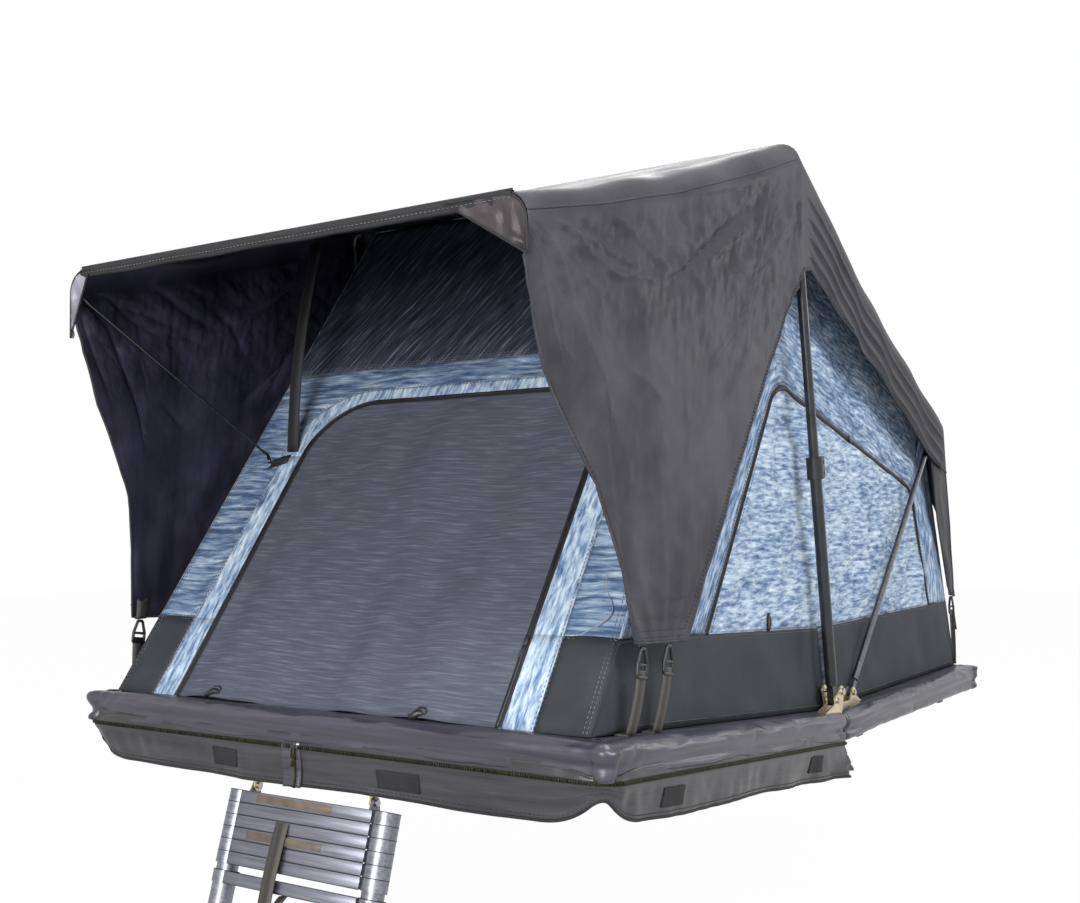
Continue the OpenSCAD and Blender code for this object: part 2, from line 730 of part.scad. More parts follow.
module side_half(side) translate([side > 0 ? 0 : -base_w, -2 * half_l, 0])
    cube([base_w, 4 * half_l, 2 * ridge_z]);

module side_wall(side) difference() {
    intersection() {
        side_skins();
        side_half(side);
    }
    band_zone();
    window_cut(side);
}

module window(side) difference() {
    intersection() {
        side_skins();
        side_half(side);
        window_cut(side);
    }
    band_zone();
}

module left_wall() color("#5d7f9f") side_wall(-1);

module right_wall() color("#5d7f9f") side_wall(1);

module left_window() color("#6c93b4") window(-1);

module right_window() color("#6c93b4") window(1);

module window_zips() color("#101113") difference() {
    intersection() {
        canvas_block(-seat - zip_t, flush);
        both_sides() side_plate(canvas_half_w / 2, base_w) difference() {
            window_outline(zip_w / 2);
            window_outline(-zip_w / 2);
        }
    }
    canvas_block(-seat, wide);
    band_zone();
}

module rear_wall() color("#5d7f9f") difference() {
    rear_skin();
    band_zone();
}

module canvas_roof() color("#4c6d8c") roof_skin();

module lower_band() color("#3a3d42") difference() {
    intersection() {
        canvas_block(0, flush);
        band_zone();
    }
    canvas_block(thick, wide + (thick + over) * [1, 0, 0, 1, 0, 0]);
    door_cut();
}

// Rain fly: one sheet from the awning bar over the ridge to the rear bar, with sides that hang down.
// Each station along Y has a height, a half width, a shoulder radius and the height of its side's hem.
fly_seat = 0.8;
awning = [fold_y - awning_ahead, awning_z];
awning_r = awning_d / 2;
fly_front = [awning[0] - awning_r - 1, awning[1] + awning_r + fly_seat];
ridge_fall = 30;
rear_fall = 22;
fly_ridge_z = ridge[1] + (bow_r + fly_seat) / cos(ridge_fall);
rear_past = rear_tube_r;
fly_rear = rear_bar + (rear_tube_r + fly_seat) * [sin(rear_fall), cos(rear_fall)]
    + rear_past * [cos(rear_fall), -sin(rear_fall)];
fly_clear = 8;
shoulder_clear = 8;
ridge_fly_w = main_lane + bow_r + fly_clear;
rear_fly_w = rear_lane + rear_tube_r + fly_clear - 2;
awning_fly_w = awning_half_w + awning_r + fly_clear;
awning_shoulder = 50;
rear_shoulder = hoop_bend + 6;

fly_height = [[fly_front[0], fly_front[1]], [ridge[0], fly_ridge_z], [fly_rear[0], fly_rear[1]]];
fly_half_w = [[fly_front[0], awning_fly_w], [ridge[0], ridge_fly_w], [fly_rear[0], rear_fly_w]];
fly_shoulder = [[fly_front[0], awning_shoulder], [ridge[0], hoop_bend + shoulder_clear],
    [fly_rear[0], rear_shoulder]];

// The hem of a side, from the awning down to the tab at the side panel's foot and back up to the rear bar:
// distances ahead of the fold line and heights
tab_ahead = 1030;
tab_z = 348;
tab_w = 198;
tab_slant = 10;
hem_front_z = 1040;
hem_upper_ahead = 1200;
hem_upper_z = 850;
hem_lower_ahead = 1080;
hem_lower_z = 640;
hem_tab_z = 480;
wing_ahead = 185;
wing_z = 1150;
hem_peak_ahead = 130;
hem_peak_z = 1160;
hem_rear_behind = 880;
hem_rear_z = 725;
hem_end_z = 690;
tab_front = [fold_y - tab_ahead, tab_z];
tab_rear = tab_front + [tab_w, -tab_slant];
wing_rear = [fold_y - wing_ahead, wing_z];
fly_hem = [[fly_front[0], hem_front_z], [fold_y - hem_upper_ahead, hem_upper_z],
    [fold_y - hem_lower_ahead, hem_lower_z], [tab_front[0] - 12, hem_tab_z], tab_front, tab_rear, wing_rear,
    [fold_y - hem_peak_ahead, hem_peak_z], [fold_y + hem_rear_behind, hem_rear_z], [fly_rear[0], hem_end_z]];
tab_x = main_lane + 10;
fly_flare_l = 700;

function sag_at(y) = let (
    a = y < ridge[0] ? fly_front[0] : ridge[0],
    b = y < ridge[0] ? ridge[0] : fly_rear[0],
    s = (y - a) / (b - a)) 4 * s * (1 - s) * fly_sag;

fly_side_rows = 5;
fly_arc_rows = 4;
fly_top_rows = 3;

// Half of one station's section, from the hem up over the shoulder to the middle
function fly_half(y) = let (
    z = along(fly_height, y) - sag_at(y),
    w = along(fly_half_w, y),
    r = along(fly_shoulder, y),
    hem = along(fly_hem, y),
    drop = max(z - r - hem, 1),
    foot_w = w + (tab_x - w) * min(drop / fly_flare_l, 1)) concat(
        [for (i = [0 : fly_side_rows - 1]) let (s = i / fly_side_rows)
            [foot_w + (w - foot_w) * s, y, hem + (z - r - hem) * s]],
        [for (i = [0 : fly_arc_rows]) let (a = 90 * i / fly_arc_rows)
            [w - r + r * cos(a), y, z - r + r * sin(a)]],
        [for (i = [1 : fly_top_rows]) [(w - r) * (1 - i / fly_top_rows), y, z]]);

function fly_station(y) = let (h = fly_half(y), n = len(h))
    concat(h, [for (i = [n - 2 : -1 : 0]) [-h[i][0], h[i][1], h[i][2]]]);

// Evenly spaced places between two ends, the ends left out
function between(a, b, n) = [for (i = [1 : n]) a + (b - a) * i / (n + 1)];

fly_steps = concat(
    [fly_front[0], fly_front[0] + 30, fold_y - hem_upper_ahead],
    between(fold_y - hem_upper_ahead, fold_y - hem_lower_ahead, 1),
    [fold_y - hem_lower_ahead, tab_front[0] - 12, tab_front[0], (tab_front[0] + tab_rear[0]) / 2, tab_rear[0]],
    between(tab_rear[0], ridge[0], 5),
    [ridge[0], wing_rear[0] + 30],
    between(wing_rear[0] + 30, fly_rear[0], 7),
    [fly_rear[0]]);

module rain_fly() color("#4a494e") cloth_sheet([for (y = fly_steps) fly_station(y)], fly_t);

// Rear flap of the fly: hangs from the rear bar in soft folds, clear of the rear wall
flap_top = fly_rear - [seat, seat];
flap_behind = 1120;
flap_z = 307;
flap_low = [fold_y + flap_behind, flap_z];
flap_half_w = rear_fly_w - 1;
flap_corner = rear_shoulder + 6;
flap_narrow = 0.03;
flap_wave = 9;
flap_wave_l = 330;
flap_cols = 24;
flap_rows = 6;

// A place on the flap: x across at its top, s from its top to its hem
function flap_point(x, s) = let (
    edge = max(abs(x) - flap_half_w + flap_corner, 0),
    round_off = flap_corner - sqrt(max(flap_corner * flap_corner - edge * edge, 0)),
    hang = flap_top + s * (flap_low - flap_top))
    [x * (1 - flap_narrow * s),
     hang[0] + flap_wave * s * (1 - cos(360 * x / flap_wave_l)),
     hang[1] - round_off * (1 - s)];

module fly_rear_flap() color("#47464b") cloth_sheet([for (i = [0 : flap_rows])
    [for (j = [0 : flap_cols]) flap_point(flap_half_w * (2 * j / flap_cols - 1), i / flap_rows)]], fly_t);

// Awning bar in the fly's front hem, with bent ends, and its two spring rods
awning_bend = 42;
awning_end = 26;
rod_top = [awning_half_w, awning[0] + awning_r + 2, awning[1] - awning_bend - awning_end / 2];
rod_foot_s = 690;
rod_foot_x = 545;
tab_t = 2;
rod_stand_off = seat + tab_t + 0.6;
rod_foot_yz = front_foot_at + rod_foot_s * wall_rise / norm(wall_rise)
    + rod_stand_off * [-wall_rise[1], wall_rise[0]] / norm(wall_rise);

module awning_bar() color("#1a1b1d") translate([0, awning[0], 0])
    hoop(awning_half_w, awning_r, awning_bend, awning[1] - awning_bend - awning_end, awning[1]);

// A straight round rod between two points
module rod(a, b, r) {
    v = b - a;
    translate(a) rotate([0, acos(v[2] / norm(v)), atan2(v[1], v[0])]) cylinder(r = r, h = norm(v));
}

module awning_rods() color("#2a2b2e") both_sides()
    rod(rod_top, [rod_foot_x, rod_foot_yz[0], rod_foot_yz[1]], awning_rod_d / 2);

module awning_rod_tabs() color("#141416") both_sides() on_front_wall()
    translate([rod_foot_x - 45, rod_foot_s - strap_w / 2, seat]) cube([90, strap_w, tab_t]);

// Tie-downs: webbing from a buckle under the fly's tab down to the edge roll
buckle = [36, 9, 46];

// A piece of webbing parallel to the side walls, from four corners given as y and z
module strap(corners) {
    side_plate(tab_x - strap_t / 2, tab_x + strap_t / 2) polygon(corners);
}

module buckle_frame(at, lean) {
    translate([tab_x, at[0], at[1]]) rotate([-lean, 0, 0]) difference() {
        translate([-buckle[1] / 2, -buckle[0] / 2, 0]) cube([buckle[1], buckle[0], buckle[2]]);
        translate([-buckle[1], -buckle[0] / 2 + 6, 8]) cube([2 * buckle[1], buckle[0] - 12, 10]);
        translate([-buckle[1], -buckle[0] / 2 + 6, 24]) cube([2 * buckle[1], buckle[0] - 12, 15]);
    }
}

tab_mid = (tab_front + tab_rear) / 2;
strap_hang = 26;
strap_front = 72;
strap_rear = 32;
strap_ahead = 1062;
strap_step = 100;
strap_tops = [tab_mid - [strap_front, strap_hang], tab_mid + [strap_rear, -strap_hang]];
strap_feet_flat = [for (i = [0, 1]) [fold_y - strap_ahead + i * strap_step, roll_top + seat]];
strap_lean = 22;

function below_hem(y) = [y, along(fly_hem, y) - seat];

module front_fly_straps() color("#3c3a38") both_sides() for (i = [0, 1]) {
    e = strap_w / 2 * [cos(strap_lean), -sin(strap_lean)];
    m = strap_w / 2 * [cos(open_tilt), -sin(open_tilt)];
    up = [sin(strap_lean), cos(strap_lean)];
    high = strap_tops[i] + seat * up;
    low = strap_tops[i] - (buckle[2] + seat) * up;
    foot = tilt(strap_feet_flat[i]);
    strap([low - e, low + e, foot + m, foot - m]);
    strap([high - e, high + e, below_hem(high[0] + strap_w / 2), below_hem(high[0] - strap_w / 2)]);
}

module front_fly_buckles() color("#17181a") both_sides() for (t = strap_tops)
    buckle_frame(t + [-buckle[2] * sin(strap_lean), -buckle[2] * cos(strap_lean)], strap_lean);

rear_strap_top = [flap_low[0] + 4, flap_low[1] - 2 * seat];
rear_strap_foot = [fold_y + half_l - 40, roll_top + seat];
rear_strap_x = rear_fly_w - 60;

module rear_fly_straps() color("#3c3a38") both_sides() translate([rear_strap_x, 0, 0]) {
    rear_strap_low = [rear_strap_top[0], rear_strap_top[1] - buckle[2] - seat];
    translate([-strap_w / 2, 0, 0]) rotate([90, 0, 90]) linear_extrude(strap_w)
        polygon([rear_strap_low, rear_strap_low + [strap_t, 0],
            rear_strap_foot + [strap_t, 0], rear_strap_foot]);
}

module rear_fly_buckles() color("#17181a") both_sides()
    translate([rear_strap_x - buckle[0] / 2, rear_strap_top[0] - buckle[1] / 2, rear_strap_top[1] - buckle[2]])
        difference() {
            cube([buckle[0], buckle[1], buckle[2]]);
            translate([6, -over, 8]) cube([buckle[0] - 12, 2 * buckle[1] + over, 10]);
            translate([6, -over, 24]) cube([buckle[0] - 12, 2 * buckle[1] + over, 15]);
        }

// Skirt: hangs from a zip under the fold-out half's roll in shallow folds, with a slit in its front
skirt_in = 8;
skirt_x = base_w / 2 - skirt_in;
skirt_y = half_l - skirt_in;
skirt_corner = 30;
skirt_zip_t = 4;
skirt_slit_x = -28;
skirt_side_l = skirt_y - skirt_corner - 10;
skirt_arc_l = skirt_corner * PI / 2;
skirt_top = roll_low - skirt_zip_h - seat;

// A place on the skirt's line by its length from the fold line: [x, y, outward x, outward y]
function skirt_place(s) = s < skirt_side_l
    ? [skirt_x, fold_y - 10 - s, 1, 0]
    : s < skirt_side_l + skirt_arc_l
        ? let (a = -(s - skirt_side_l) / skirt_arc_l * 90)
            [skirt_x - skirt_corner + skirt_corner * cos(a),
             fold_y - skirt_y + skirt_corner + skirt_corner * sin(a), cos(a), sin(a)]
        : [skirt_x - skirt_corner - (s - skirt_side_l - skirt_arc_l), fold_y - skirt_y, 0, -1];

skirt_rows = 3;
skirt_col_l = 34;

function skirt_point(s, row) = let (
    p = skirt_place(s),
    d = row / skirt_rows,
    out = skirt_wave * d * sin(360 * s / skirt_wave_l),
    low = skirt_h + 5 * sin(360 * s / skirt_wave_l + 120))
    [p[0] + out * p[2], p[1] + out * p[3], skirt_top - low * d];

// One half of the skirt, ending at a given distance past the middle
module skirt_half(past) {
    total = skirt_side_l + skirt_arc_l + skirt_x - skirt_corner + past;
    cols = ceil(total / skirt_col_l);
    cloth_sheet([for (row = [0 : skirt_rows])
        [for (i = [0 : cols]) skirt_point(total * i / cols, row)]], skirt_t);
}

module skirt() color("#504e56") fold_out_half() {
    skirt_half(-skirt_slit_x - skirt_slit / 2);
    mirror([1, 0, 0]) skirt_half(skirt_slit_x - skirt_slit / 2);
}

module skirt_zip_plan() difference() {
    translate([-skirt_x - skirt_zip_t / 2, fold_y - skirt_y - skirt_zip_t / 2])
        square([2 * skirt_x + skirt_zip_t, skirt_y - 10]);
    translate([-skirt_x + skirt_zip_t / 2, fold_y - skirt_y + skirt_zip_t / 2])
        square([2 * skirt_x - skirt_zip_t, skirt_y]);
}

module skirt_zip() color("#131416") fold_out_half() translate([0, 0, roll_low - skirt_zip_h])
    linear_extrude(skirt_zip_h - seat) skirt_zip_plan();

// Ladder: drawn upright with its pivot at its own origin and its sections hanging down
ladder_in = 16;
ladder_drop = 72;
ladder_pivot_flat = [fold_y - frame_end + ladder_in, -ladder_drop];
ladder_pivot = tilt(ladder_pivot_flat);
stile_gap = 0.3;
collar_h = rung_pitch - 0.3;
ear_drop = 15;
ear_t = 4;
ear_x = stile_spacing / 2 - collar_r - 5;
bracket_t = 4;
bracket_w = 24;
bracket_foot = 40;
bracket_back = 30;
bracket_x = ear_x - ear_t - bracket_t - 2 * seat;
ladder_bolt_d = 8;

module ladder() {
    translate([0, ladder_pivot[0], ladder_pivot[1]]) rotate([-ladder_lean, 0, 0]) children();
}

function section_top(i) = -ear_drop - i * rung_pitch - (i == ladder_count - 1 ? last_gap : 0);
function section_r(i) = stile_r + i * (stile_wall + stile_gap);

// A rung with a flat face, round edges and a shallow groove along its tread
module rung(top) {
    rung_h = collar_h - 2;
    edge = 5;
    span = stile_spacing - 2 * collar_r + 16;
    translate([-span / 2, 0, top - 1 - rung_h]) rotate([90, 0, 90]) linear_extrude(span) difference() {
        union() {
            translate([-rung_d / 2 + edge, 0]) square([rung_d - 2 * edge, rung_h]);
            translate([-rung_d / 2, edge]) square([rung_d, rung_h - 2 * edge]);
            for (y = [-1, 1]) for (z = [edge, rung_h - edge])
                translate([y * (rung_d / 2 - edge), z]) circle(r = edge);
        }
        for (y = [-12, 0, 12]) translate([y - 1.5, rung_h - 1.2]) square([3, 2]);
    }
}

module ladder_section(i) {
    top = section_top(i);
    r = section_r(i);
    bottom = top - stile_l + (i == ladder_count - 1 ? 0 : i * 2);
    difference() {
        union() {
            both_sides() translate([stile_spacing / 2, 0, 0]) {
                translate([0, 0, top - collar_h]) cylinder(r = collar_r, h = collar_h);
                translate([0, 0, bottom]) cylinder(r = r, h = top - bottom);
            }
            rung(top);
            if (i == ladder_count - 1) rung(bottom + collar_h + 8);
        }
        both_sides() translate([stile_spacing / 2, 0, bottom - over])
            cylinder(r = r - stile_wall, h = top - bottom + 2 * over);
    }
}

module ladder_section_1() color("#c4c8cc") ladder() {
    ladder_section(0);
    both_sides() side_plate(ear_x - ear_t, ear_x) difference() {
        union() {
            circle(r = 11);
            polygon([[-11, 0], [11, 0], [17, -ear_drop - 2], [-17, -ear_drop - 2]]);
        }
        circle(d = ladder_bolt_d + 0.12);
    }
}

module ladder_section_2() color("#c4c8cc") ladder() ladder_section(1);

module ladder_section_3() color("#c4c8cc") ladder() ladder_section(2);

module ladder_section_4() color("#c4c8cc") ladder() ladder_section(3);

module ladder_section_5() color("#c4c8cc") ladder() ladder_section(4);

module ladder_section_6() color("#c4c8cc") ladder() ladder_section(5);

module ladder_section_7() color("#c4c8cc") ladder() ladder_section(6);

// Rubber feet over the ends of the last section's stiles
module ladder_feet() color("#1b1b1c") ladder() both_sides()
    translate([stile_spacing / 2, 0, section_top(ladder_count - 1) - stile_l - 14]) {
        cylinder(r1 = 24, r2 = section_r(ladder_count - 1) + 2, h = 14);
    }

// Brackets under the fold-out half's front edge
module ladder_brackets() color("#c9b77a") fold_out_half() both_sides() {
    side_plate(bracket_x, bracket_x + bracket_t) difference() {
        union() {
            translate(ladder_pivot_flat) circle(d = bracket_w);
            translate(ladder_pivot_flat - [bracket_w / 2, 0])
                square([bracket_w, frame_z - ladder_pivot_flat[1]]);
        }
        translate(ladder_pivot_flat) circle(d = ladder_bolt_d + 0.12);
    }
    translate([bracket_x - bracket_foot, ladder_pivot_flat[0] - bracket_w / 2 + 2, frame_z - bracket_t])
        cube([bracket_foot, bracket_w + bracket_back, bracket_t]);
}

module ladder_bolts() color("#b39d5c") fold_out_half() both_sides() {
    cross_bar(bracket_x - 5, bracket_x - seat / 3, ladder_bolt_d * 0.85, ladder_pivot_flat);
    cross_bar(bracket_x - 1, ear_x + seat, ladder_bolt_d / 2, ladder_pivot_flat);
    cross_bar(ear_x + seat, ear_x + 5, ladder_bolt_d * 0.85, ladder_pivot_flat);
}

// Webbing looped over the third rung, which hangs in front of the closed sections below it
strap_drop = 190;
strap_tail = 60;
ladder_strap_x = -60;
ladder_strap_w = 30;
ladder_strap_t = 1.6;

module ladder_strap() color("#5a5956") ladder() {
    top = section_top(2) - 1 + seat;
    deep = rung_d / 2 + seat;
    translate([ladder_strap_x, -deep - ladder_strap_t, top - strap_drop])
        cube([ladder_strap_w, ladder_strap_t, strap_drop + ladder_strap_t]);
    translate([ladder_strap_x, -deep - ladder_strap_t, top])
        cube([ladder_strap_w, 2 * deep + 2 * ladder_strap_t, ladder_strap_t]);
    translate([ladder_strap_x, deep, top - strap_tail])
        cube([ladder_strap_w, ladder_strap_t, strap_tail + ladder_strap_t]);
}

mounting_rails();
rail_end_caps();
rail_bolts();
rail_studs();
rear_board();
rear_edge_frame();
rear_edge_roll();
rear_hinge_leaves();
hinge_pins();
rear_hoop_bolts();
rear_mattress();
front_board();
front_edge_frame();
front_edge_roll();
front_hinge_leaves();
main_hoop_bolts();
front_mattress();
main_hoop_legs();
main_hoop_plugs();
leg_clamps();
clamp_screws();
main_hoop_bow();
rear_hoop();
rear_hoop_ends();
front_wall();
upper_front_panel();
door_mesh();
door_zip();
left_wall();
right_wall();
left_window();
right_window();
window_zips();
rear_wall();
canvas_roof();
lower_band();
rain_fly();
fly_rear_flap();
awning_bar();
awning_rods();
awning_rod_tabs();
front_fly_straps();
front_fly_buckles();
rear_fly_straps();
rear_fly_buckles();
skirt();
skirt_zip();
ladder_brackets();
ladder_bolts();
ladder_section_1();
ladder_section_2();
ladder_section_3();
ladder_section_4();
ladder_section_5();
ladder_section_6();
ladder_section_7();
ladder_feet();
ladder_strap();
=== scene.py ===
"""Fold-out roof top tent: cloth, soft edges, webbing, finishes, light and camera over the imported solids."""
import json
import math
from functools import partial

import bmesh
import bpy
import numpy as np
from bpy.props import FloatProperty, FloatVectorProperty, PointerProperty
from mathutils import Matrix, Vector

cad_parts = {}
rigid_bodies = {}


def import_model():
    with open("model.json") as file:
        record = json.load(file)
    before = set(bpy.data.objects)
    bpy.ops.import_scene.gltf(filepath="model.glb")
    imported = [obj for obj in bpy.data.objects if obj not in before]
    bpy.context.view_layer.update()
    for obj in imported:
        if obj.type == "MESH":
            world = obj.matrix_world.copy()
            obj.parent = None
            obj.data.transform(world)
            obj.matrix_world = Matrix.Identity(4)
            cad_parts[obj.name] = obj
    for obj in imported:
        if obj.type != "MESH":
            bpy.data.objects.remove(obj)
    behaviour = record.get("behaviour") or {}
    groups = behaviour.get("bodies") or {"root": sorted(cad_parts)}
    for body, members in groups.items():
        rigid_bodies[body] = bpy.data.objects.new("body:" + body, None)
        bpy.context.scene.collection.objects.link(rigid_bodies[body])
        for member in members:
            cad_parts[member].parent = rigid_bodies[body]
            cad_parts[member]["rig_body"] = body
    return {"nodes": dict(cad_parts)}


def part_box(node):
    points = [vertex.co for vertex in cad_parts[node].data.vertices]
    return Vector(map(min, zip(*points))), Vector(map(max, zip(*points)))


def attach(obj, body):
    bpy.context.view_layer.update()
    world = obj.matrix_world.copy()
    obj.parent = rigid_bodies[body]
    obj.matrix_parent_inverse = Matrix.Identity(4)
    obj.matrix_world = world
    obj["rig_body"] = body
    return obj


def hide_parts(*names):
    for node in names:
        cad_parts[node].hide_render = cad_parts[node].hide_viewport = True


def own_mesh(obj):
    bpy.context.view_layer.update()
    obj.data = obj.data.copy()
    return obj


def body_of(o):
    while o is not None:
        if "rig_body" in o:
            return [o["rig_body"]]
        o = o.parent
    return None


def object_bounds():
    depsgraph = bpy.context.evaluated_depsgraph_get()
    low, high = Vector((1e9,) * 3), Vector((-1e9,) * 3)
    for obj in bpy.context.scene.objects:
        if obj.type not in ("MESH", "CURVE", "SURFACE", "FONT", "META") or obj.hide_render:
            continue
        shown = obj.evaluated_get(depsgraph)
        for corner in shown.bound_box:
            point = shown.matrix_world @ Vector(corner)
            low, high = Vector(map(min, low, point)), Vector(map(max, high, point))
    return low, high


bl_info = {
    "name": "Roof top tent",
    "version": (1, 0, 0),
    "blender": (4, 5, 0),
    "location": "View3D > Sidebar > Tent",
    "description": "Builds the cloth, soft edges, webbing and finishes of a fold-out roof top tent",
    "category": "Object",
}

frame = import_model()
CAD_BOX = [list(corner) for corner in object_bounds()]

# Places shared with the solids, in millimetres. A pair is (y, z).
MM = 0.001
FOLD = np.array([-580.0, 143.0])
OPEN_TILT = math.radians(4.7)
FRAME_HALF_W, FRAME_END = 692.0, 1142.0
ROLL_TOP, ROLL_LOW, FRAME_TOP = 95.0, 25.0, 68.0
FRONT_FOOT = np.array([-1693.2, 186.7])
RIDGE = np.array([-779.95, 1410.5])
ROOF_MID = np.array([-206.1, 1098.3])
REAR_TOP = np.array([367.7, 838.0])
REAR_FOOT = np.array([533.0, 95.3])
FOLD_FOOT = np.array([-583.9, 95.5])
WALL_FOOT_X, WALL_LEAN = 642.0, 0.036
WALL_RUN = RIDGE - FRONT_FOOT
WALL_LENGTH = float(np.hypot(*WALL_RUN))
WALL_UP = WALL_RUN / WALL_LENGTH
WALL_OUT = np.array([-WALL_UP[1], WALL_UP[0]])
FLY_FRONT, FLY_REAR = np.array([-1841.0, 1154.8]), np.array([405.6, 867.1])
FLY_RIDGE = np.array([-779.95, 1455.0])
FLY_Y = [FLY_FRONT[0], FLY_RIDGE[0], FLY_REAR[0]]
FLY_HEIGHT = [FLY_FRONT[1], FLY_RIDGE[1], FLY_REAR[1]]
FLY_HALF_W, FLY_SHOULDER = [620.0, 699.7, 669.0], [50.0, 53.0, 51.0]
FLY_HEM = np.array([(-1841, 1040), (-1780, 850), (-1660, 640), (-1622, 480), (-1610, 348), (-1412, 338),
                    (-765, 1150), (-710, 1160), (300, 725), (405.6, 690)], float)
TAB_X = 690.0
AWNING = np.array([-1834.0, 1148.0])
AWNING_HALF_W = 606.0
CLOTH = "cloth"
# Thickness of the canvas
CANVAS = 1.5
HALVES = {"front": "fold_out_half", "rear": "mounted_half"}
# What is left of the cloth's height when shut, and how far the cloth of each half goes past the fold
FOLDED, OVERLAP = 0.001, 1.5
# Heights of the shut cloth above the flat fold-out half and above the mounted half
SHUT_FRONT, SHUT_REAR = 140.0, 128.9


def linear(colour):
    """The linear colour of an sRGB hex value."""
    parts = [int(colour[i:i + 2], 16) / 255 for i in (1, 3, 5)]
    return tuple(c / 12.92 if c <= 0.04045 else ((c + 0.055) / 1.055) ** 2.4 for c in parts)


def colour_prop(name, description, value):
    """A colour that a user may change, written as an sRGB hex value."""
    return FloatVectorProperty(name=name, description=description, subtype="COLOR", size=3, min=0, max=1,
                               default=linear(value))


def length_prop(name, description, value):
    """A length that a user may change, in metres."""
    return FloatProperty(name=name, description=description, unit="LENGTH", default=value)


class TentSizes(bpy.types.PropertyGroup):
    """Sizes of the cloth that a user would change."""

    fly_sag: length_prop("Fly sag", "How far the fly hangs between its bars", 0.022)
    fly_fold: length_prop("Fly fold depth", "Depth of the folds in the fly's side panels", 0.006)
    wall_crease: length_prop("Wall crease depth", "Depth of the creases in the canvas walls", 0.004)
    roll_swell: length_prop("Edge roll swell", "How far the padding may push the edge rolls out", 0.006)
    skirt_wave: length_prop("Skirt wave", "Depth of the waves along the skirt", 0.003)
    stitch: length_prop("Stitch length", "Length of one stitch", 0.006)
    web_width: length_prop("Webbing width", "Width of the tie-down webbing", 0.034)


class TentColours(bpy.types.PropertyGroup):
    """Colours of the finishes that a user would change."""

    canvas_deep: colour_prop("Canvas, deep yarn", "Darkest yarn of the canvas", "#435a7c")
    canvas_mid: colour_prop("Canvas, middle yarn", "Middle yarn of the canvas", "#6f88a8")
    canvas_pale: colour_prop("Canvas, pale yarn", "Pale yarn and flecks of the canvas", "#aabdd0")
    fly: colour_prop("Fly", "Outside of the rain fly", "#3b3b40")
    fly_lining: colour_prop("Fly lining", "Coated inside of the rain fly", "#302e3b")
    vinyl: colour_prop("Coated vinyl", "Edge rolls", "#3a3842")
    # The skirt's colour is the rolls' vinyl darkened: painted shade under the edge roll
    skirt: colour_prop("Skirt", "Zip-on skirt under the fold-out half", "#302f33")
    band: colour_prop("Lower band", "Dark band at the foot of the walls", "#2f3338")
    mesh: colour_prop("Door mesh", "Mesh of the door", "#4f545f")
    ladder: colour_prop("Ladder", "Anodised ladder sections", "#90919b")
    zinc: colour_prop("Hinge plates", "Yellow zinc on the hinge plates", "#dcd2b0")
    webbing: colour_prop("Webbing", "Tie-down webbing", "#4a4642")


def sizes():
    """The tent's sizes in the scene."""
    return bpy.context.scene.tent_sizes


def hue(name):
    """One of the tent's colours, with full opacity."""
    return (*getattr(bpy.context.scene.tent_colours, name), 1.0)


def shade(colour):
    """An sRGB hex value as a linear colour with full opacity."""
    return (*linear(colour), 1.0)


def per(length):
    """Texture scale for a pattern that repeats at a length in millimetres."""
    return 1.0 / (length * MM)


def wave_per(length):
    """Scale of Blender's wave texture, whose waves then lie 2 pi times a length in millimetres apart."""
    return per(length) / 20


def wire(tree, made, links=None, values=None):
    """Sets a node's values and leads sockets to its inputs."""
    for key, value in (values or {}).items():
        made.inputs[key].default_value = value
    for key, socket in (links or {}).items():
        tree.links.new(socket, made.inputs[key])


def node(tree, kind, links=None, values=None, stops=None, **settings):
    """Adds a node with its settings, values and links."""
    made = tree.nodes.new("ShaderNode" + kind)
    for key, value in settings.items():
        setattr(made, key, value)
    wire(tree, made, links, values)
    if stops:
        ramp = made.color_ramp.elements
        ramp[0].position, ramp[0].color = stops[0]
        ramp[-1].position, ramp[-1].color = stops[-1]
        for place, colour in stops[1:-1]:
            ramp.new(place).color = colour
    return made.outputs


def dyed_canvas(tree, shader, stops, streak=48.0, height=9.5):
    """Ripstop canvas of unevenly dyed yarn: short water-like ripples, pale flecks and a dull, soft weave."""
    cloth = node(tree, "UVMap", uv_map=CLOTH)[0]
    place = node(tree, "Mapping", {0: cloth}, {"Scale": (per(streak), per(height), 1)})[0]
    streaks = node(tree, "TexNoise", {0: place},
                   {"Scale": 1, "Detail": 5, "Roughness": 0.64, "Distortion": 0.3})[0]
    wide = node(tree, "Mapping", {0: cloth}, {"Scale": (per(240), per(55), 1)})[0]
    patches = node(tree, "TexNoise", {0: wide}, {"Scale": 1, "Detail": 2})[0]
    lean = node(tree, "Math", {0: patches}, {1: 0.3}, operation="MULTIPLY")[0]
    tone = node(tree, "Math", {0: streaks, 1: lean}, operation="ADD")[0]
    level = node(tree, "Math", {0: tone}, {1: 0.15}, operation="SUBTRACT")[0]
    dye = node(tree, "ValToRGB", {0: level}, stops=stops)[0]
    # Threads lie 0.5 mm apart, too fine to show, so the weave is drawn as faint ripples 25 mm apart
    warp, weft = (node(tree, "TexWave", {0: cloth}, {"Scale": wave_per(4), "Distortion": 1.0},
                       bands_direction=way)[1] for way in "XY")
    weave = node(tree, "Math", {0: warp, 1: weft}, operation="ADD")[0]
    relief = node(tree, "Bump", {"Height": weave}, {"Strength": 0.25, "Distance": 0.0006})[0]
    wire(tree, shader, {"Base Color": dye, "Normal": relief},
         {"Roughness": 0.82, "Specular IOR Level": 0.2, "Sheen Weight": 0.08})


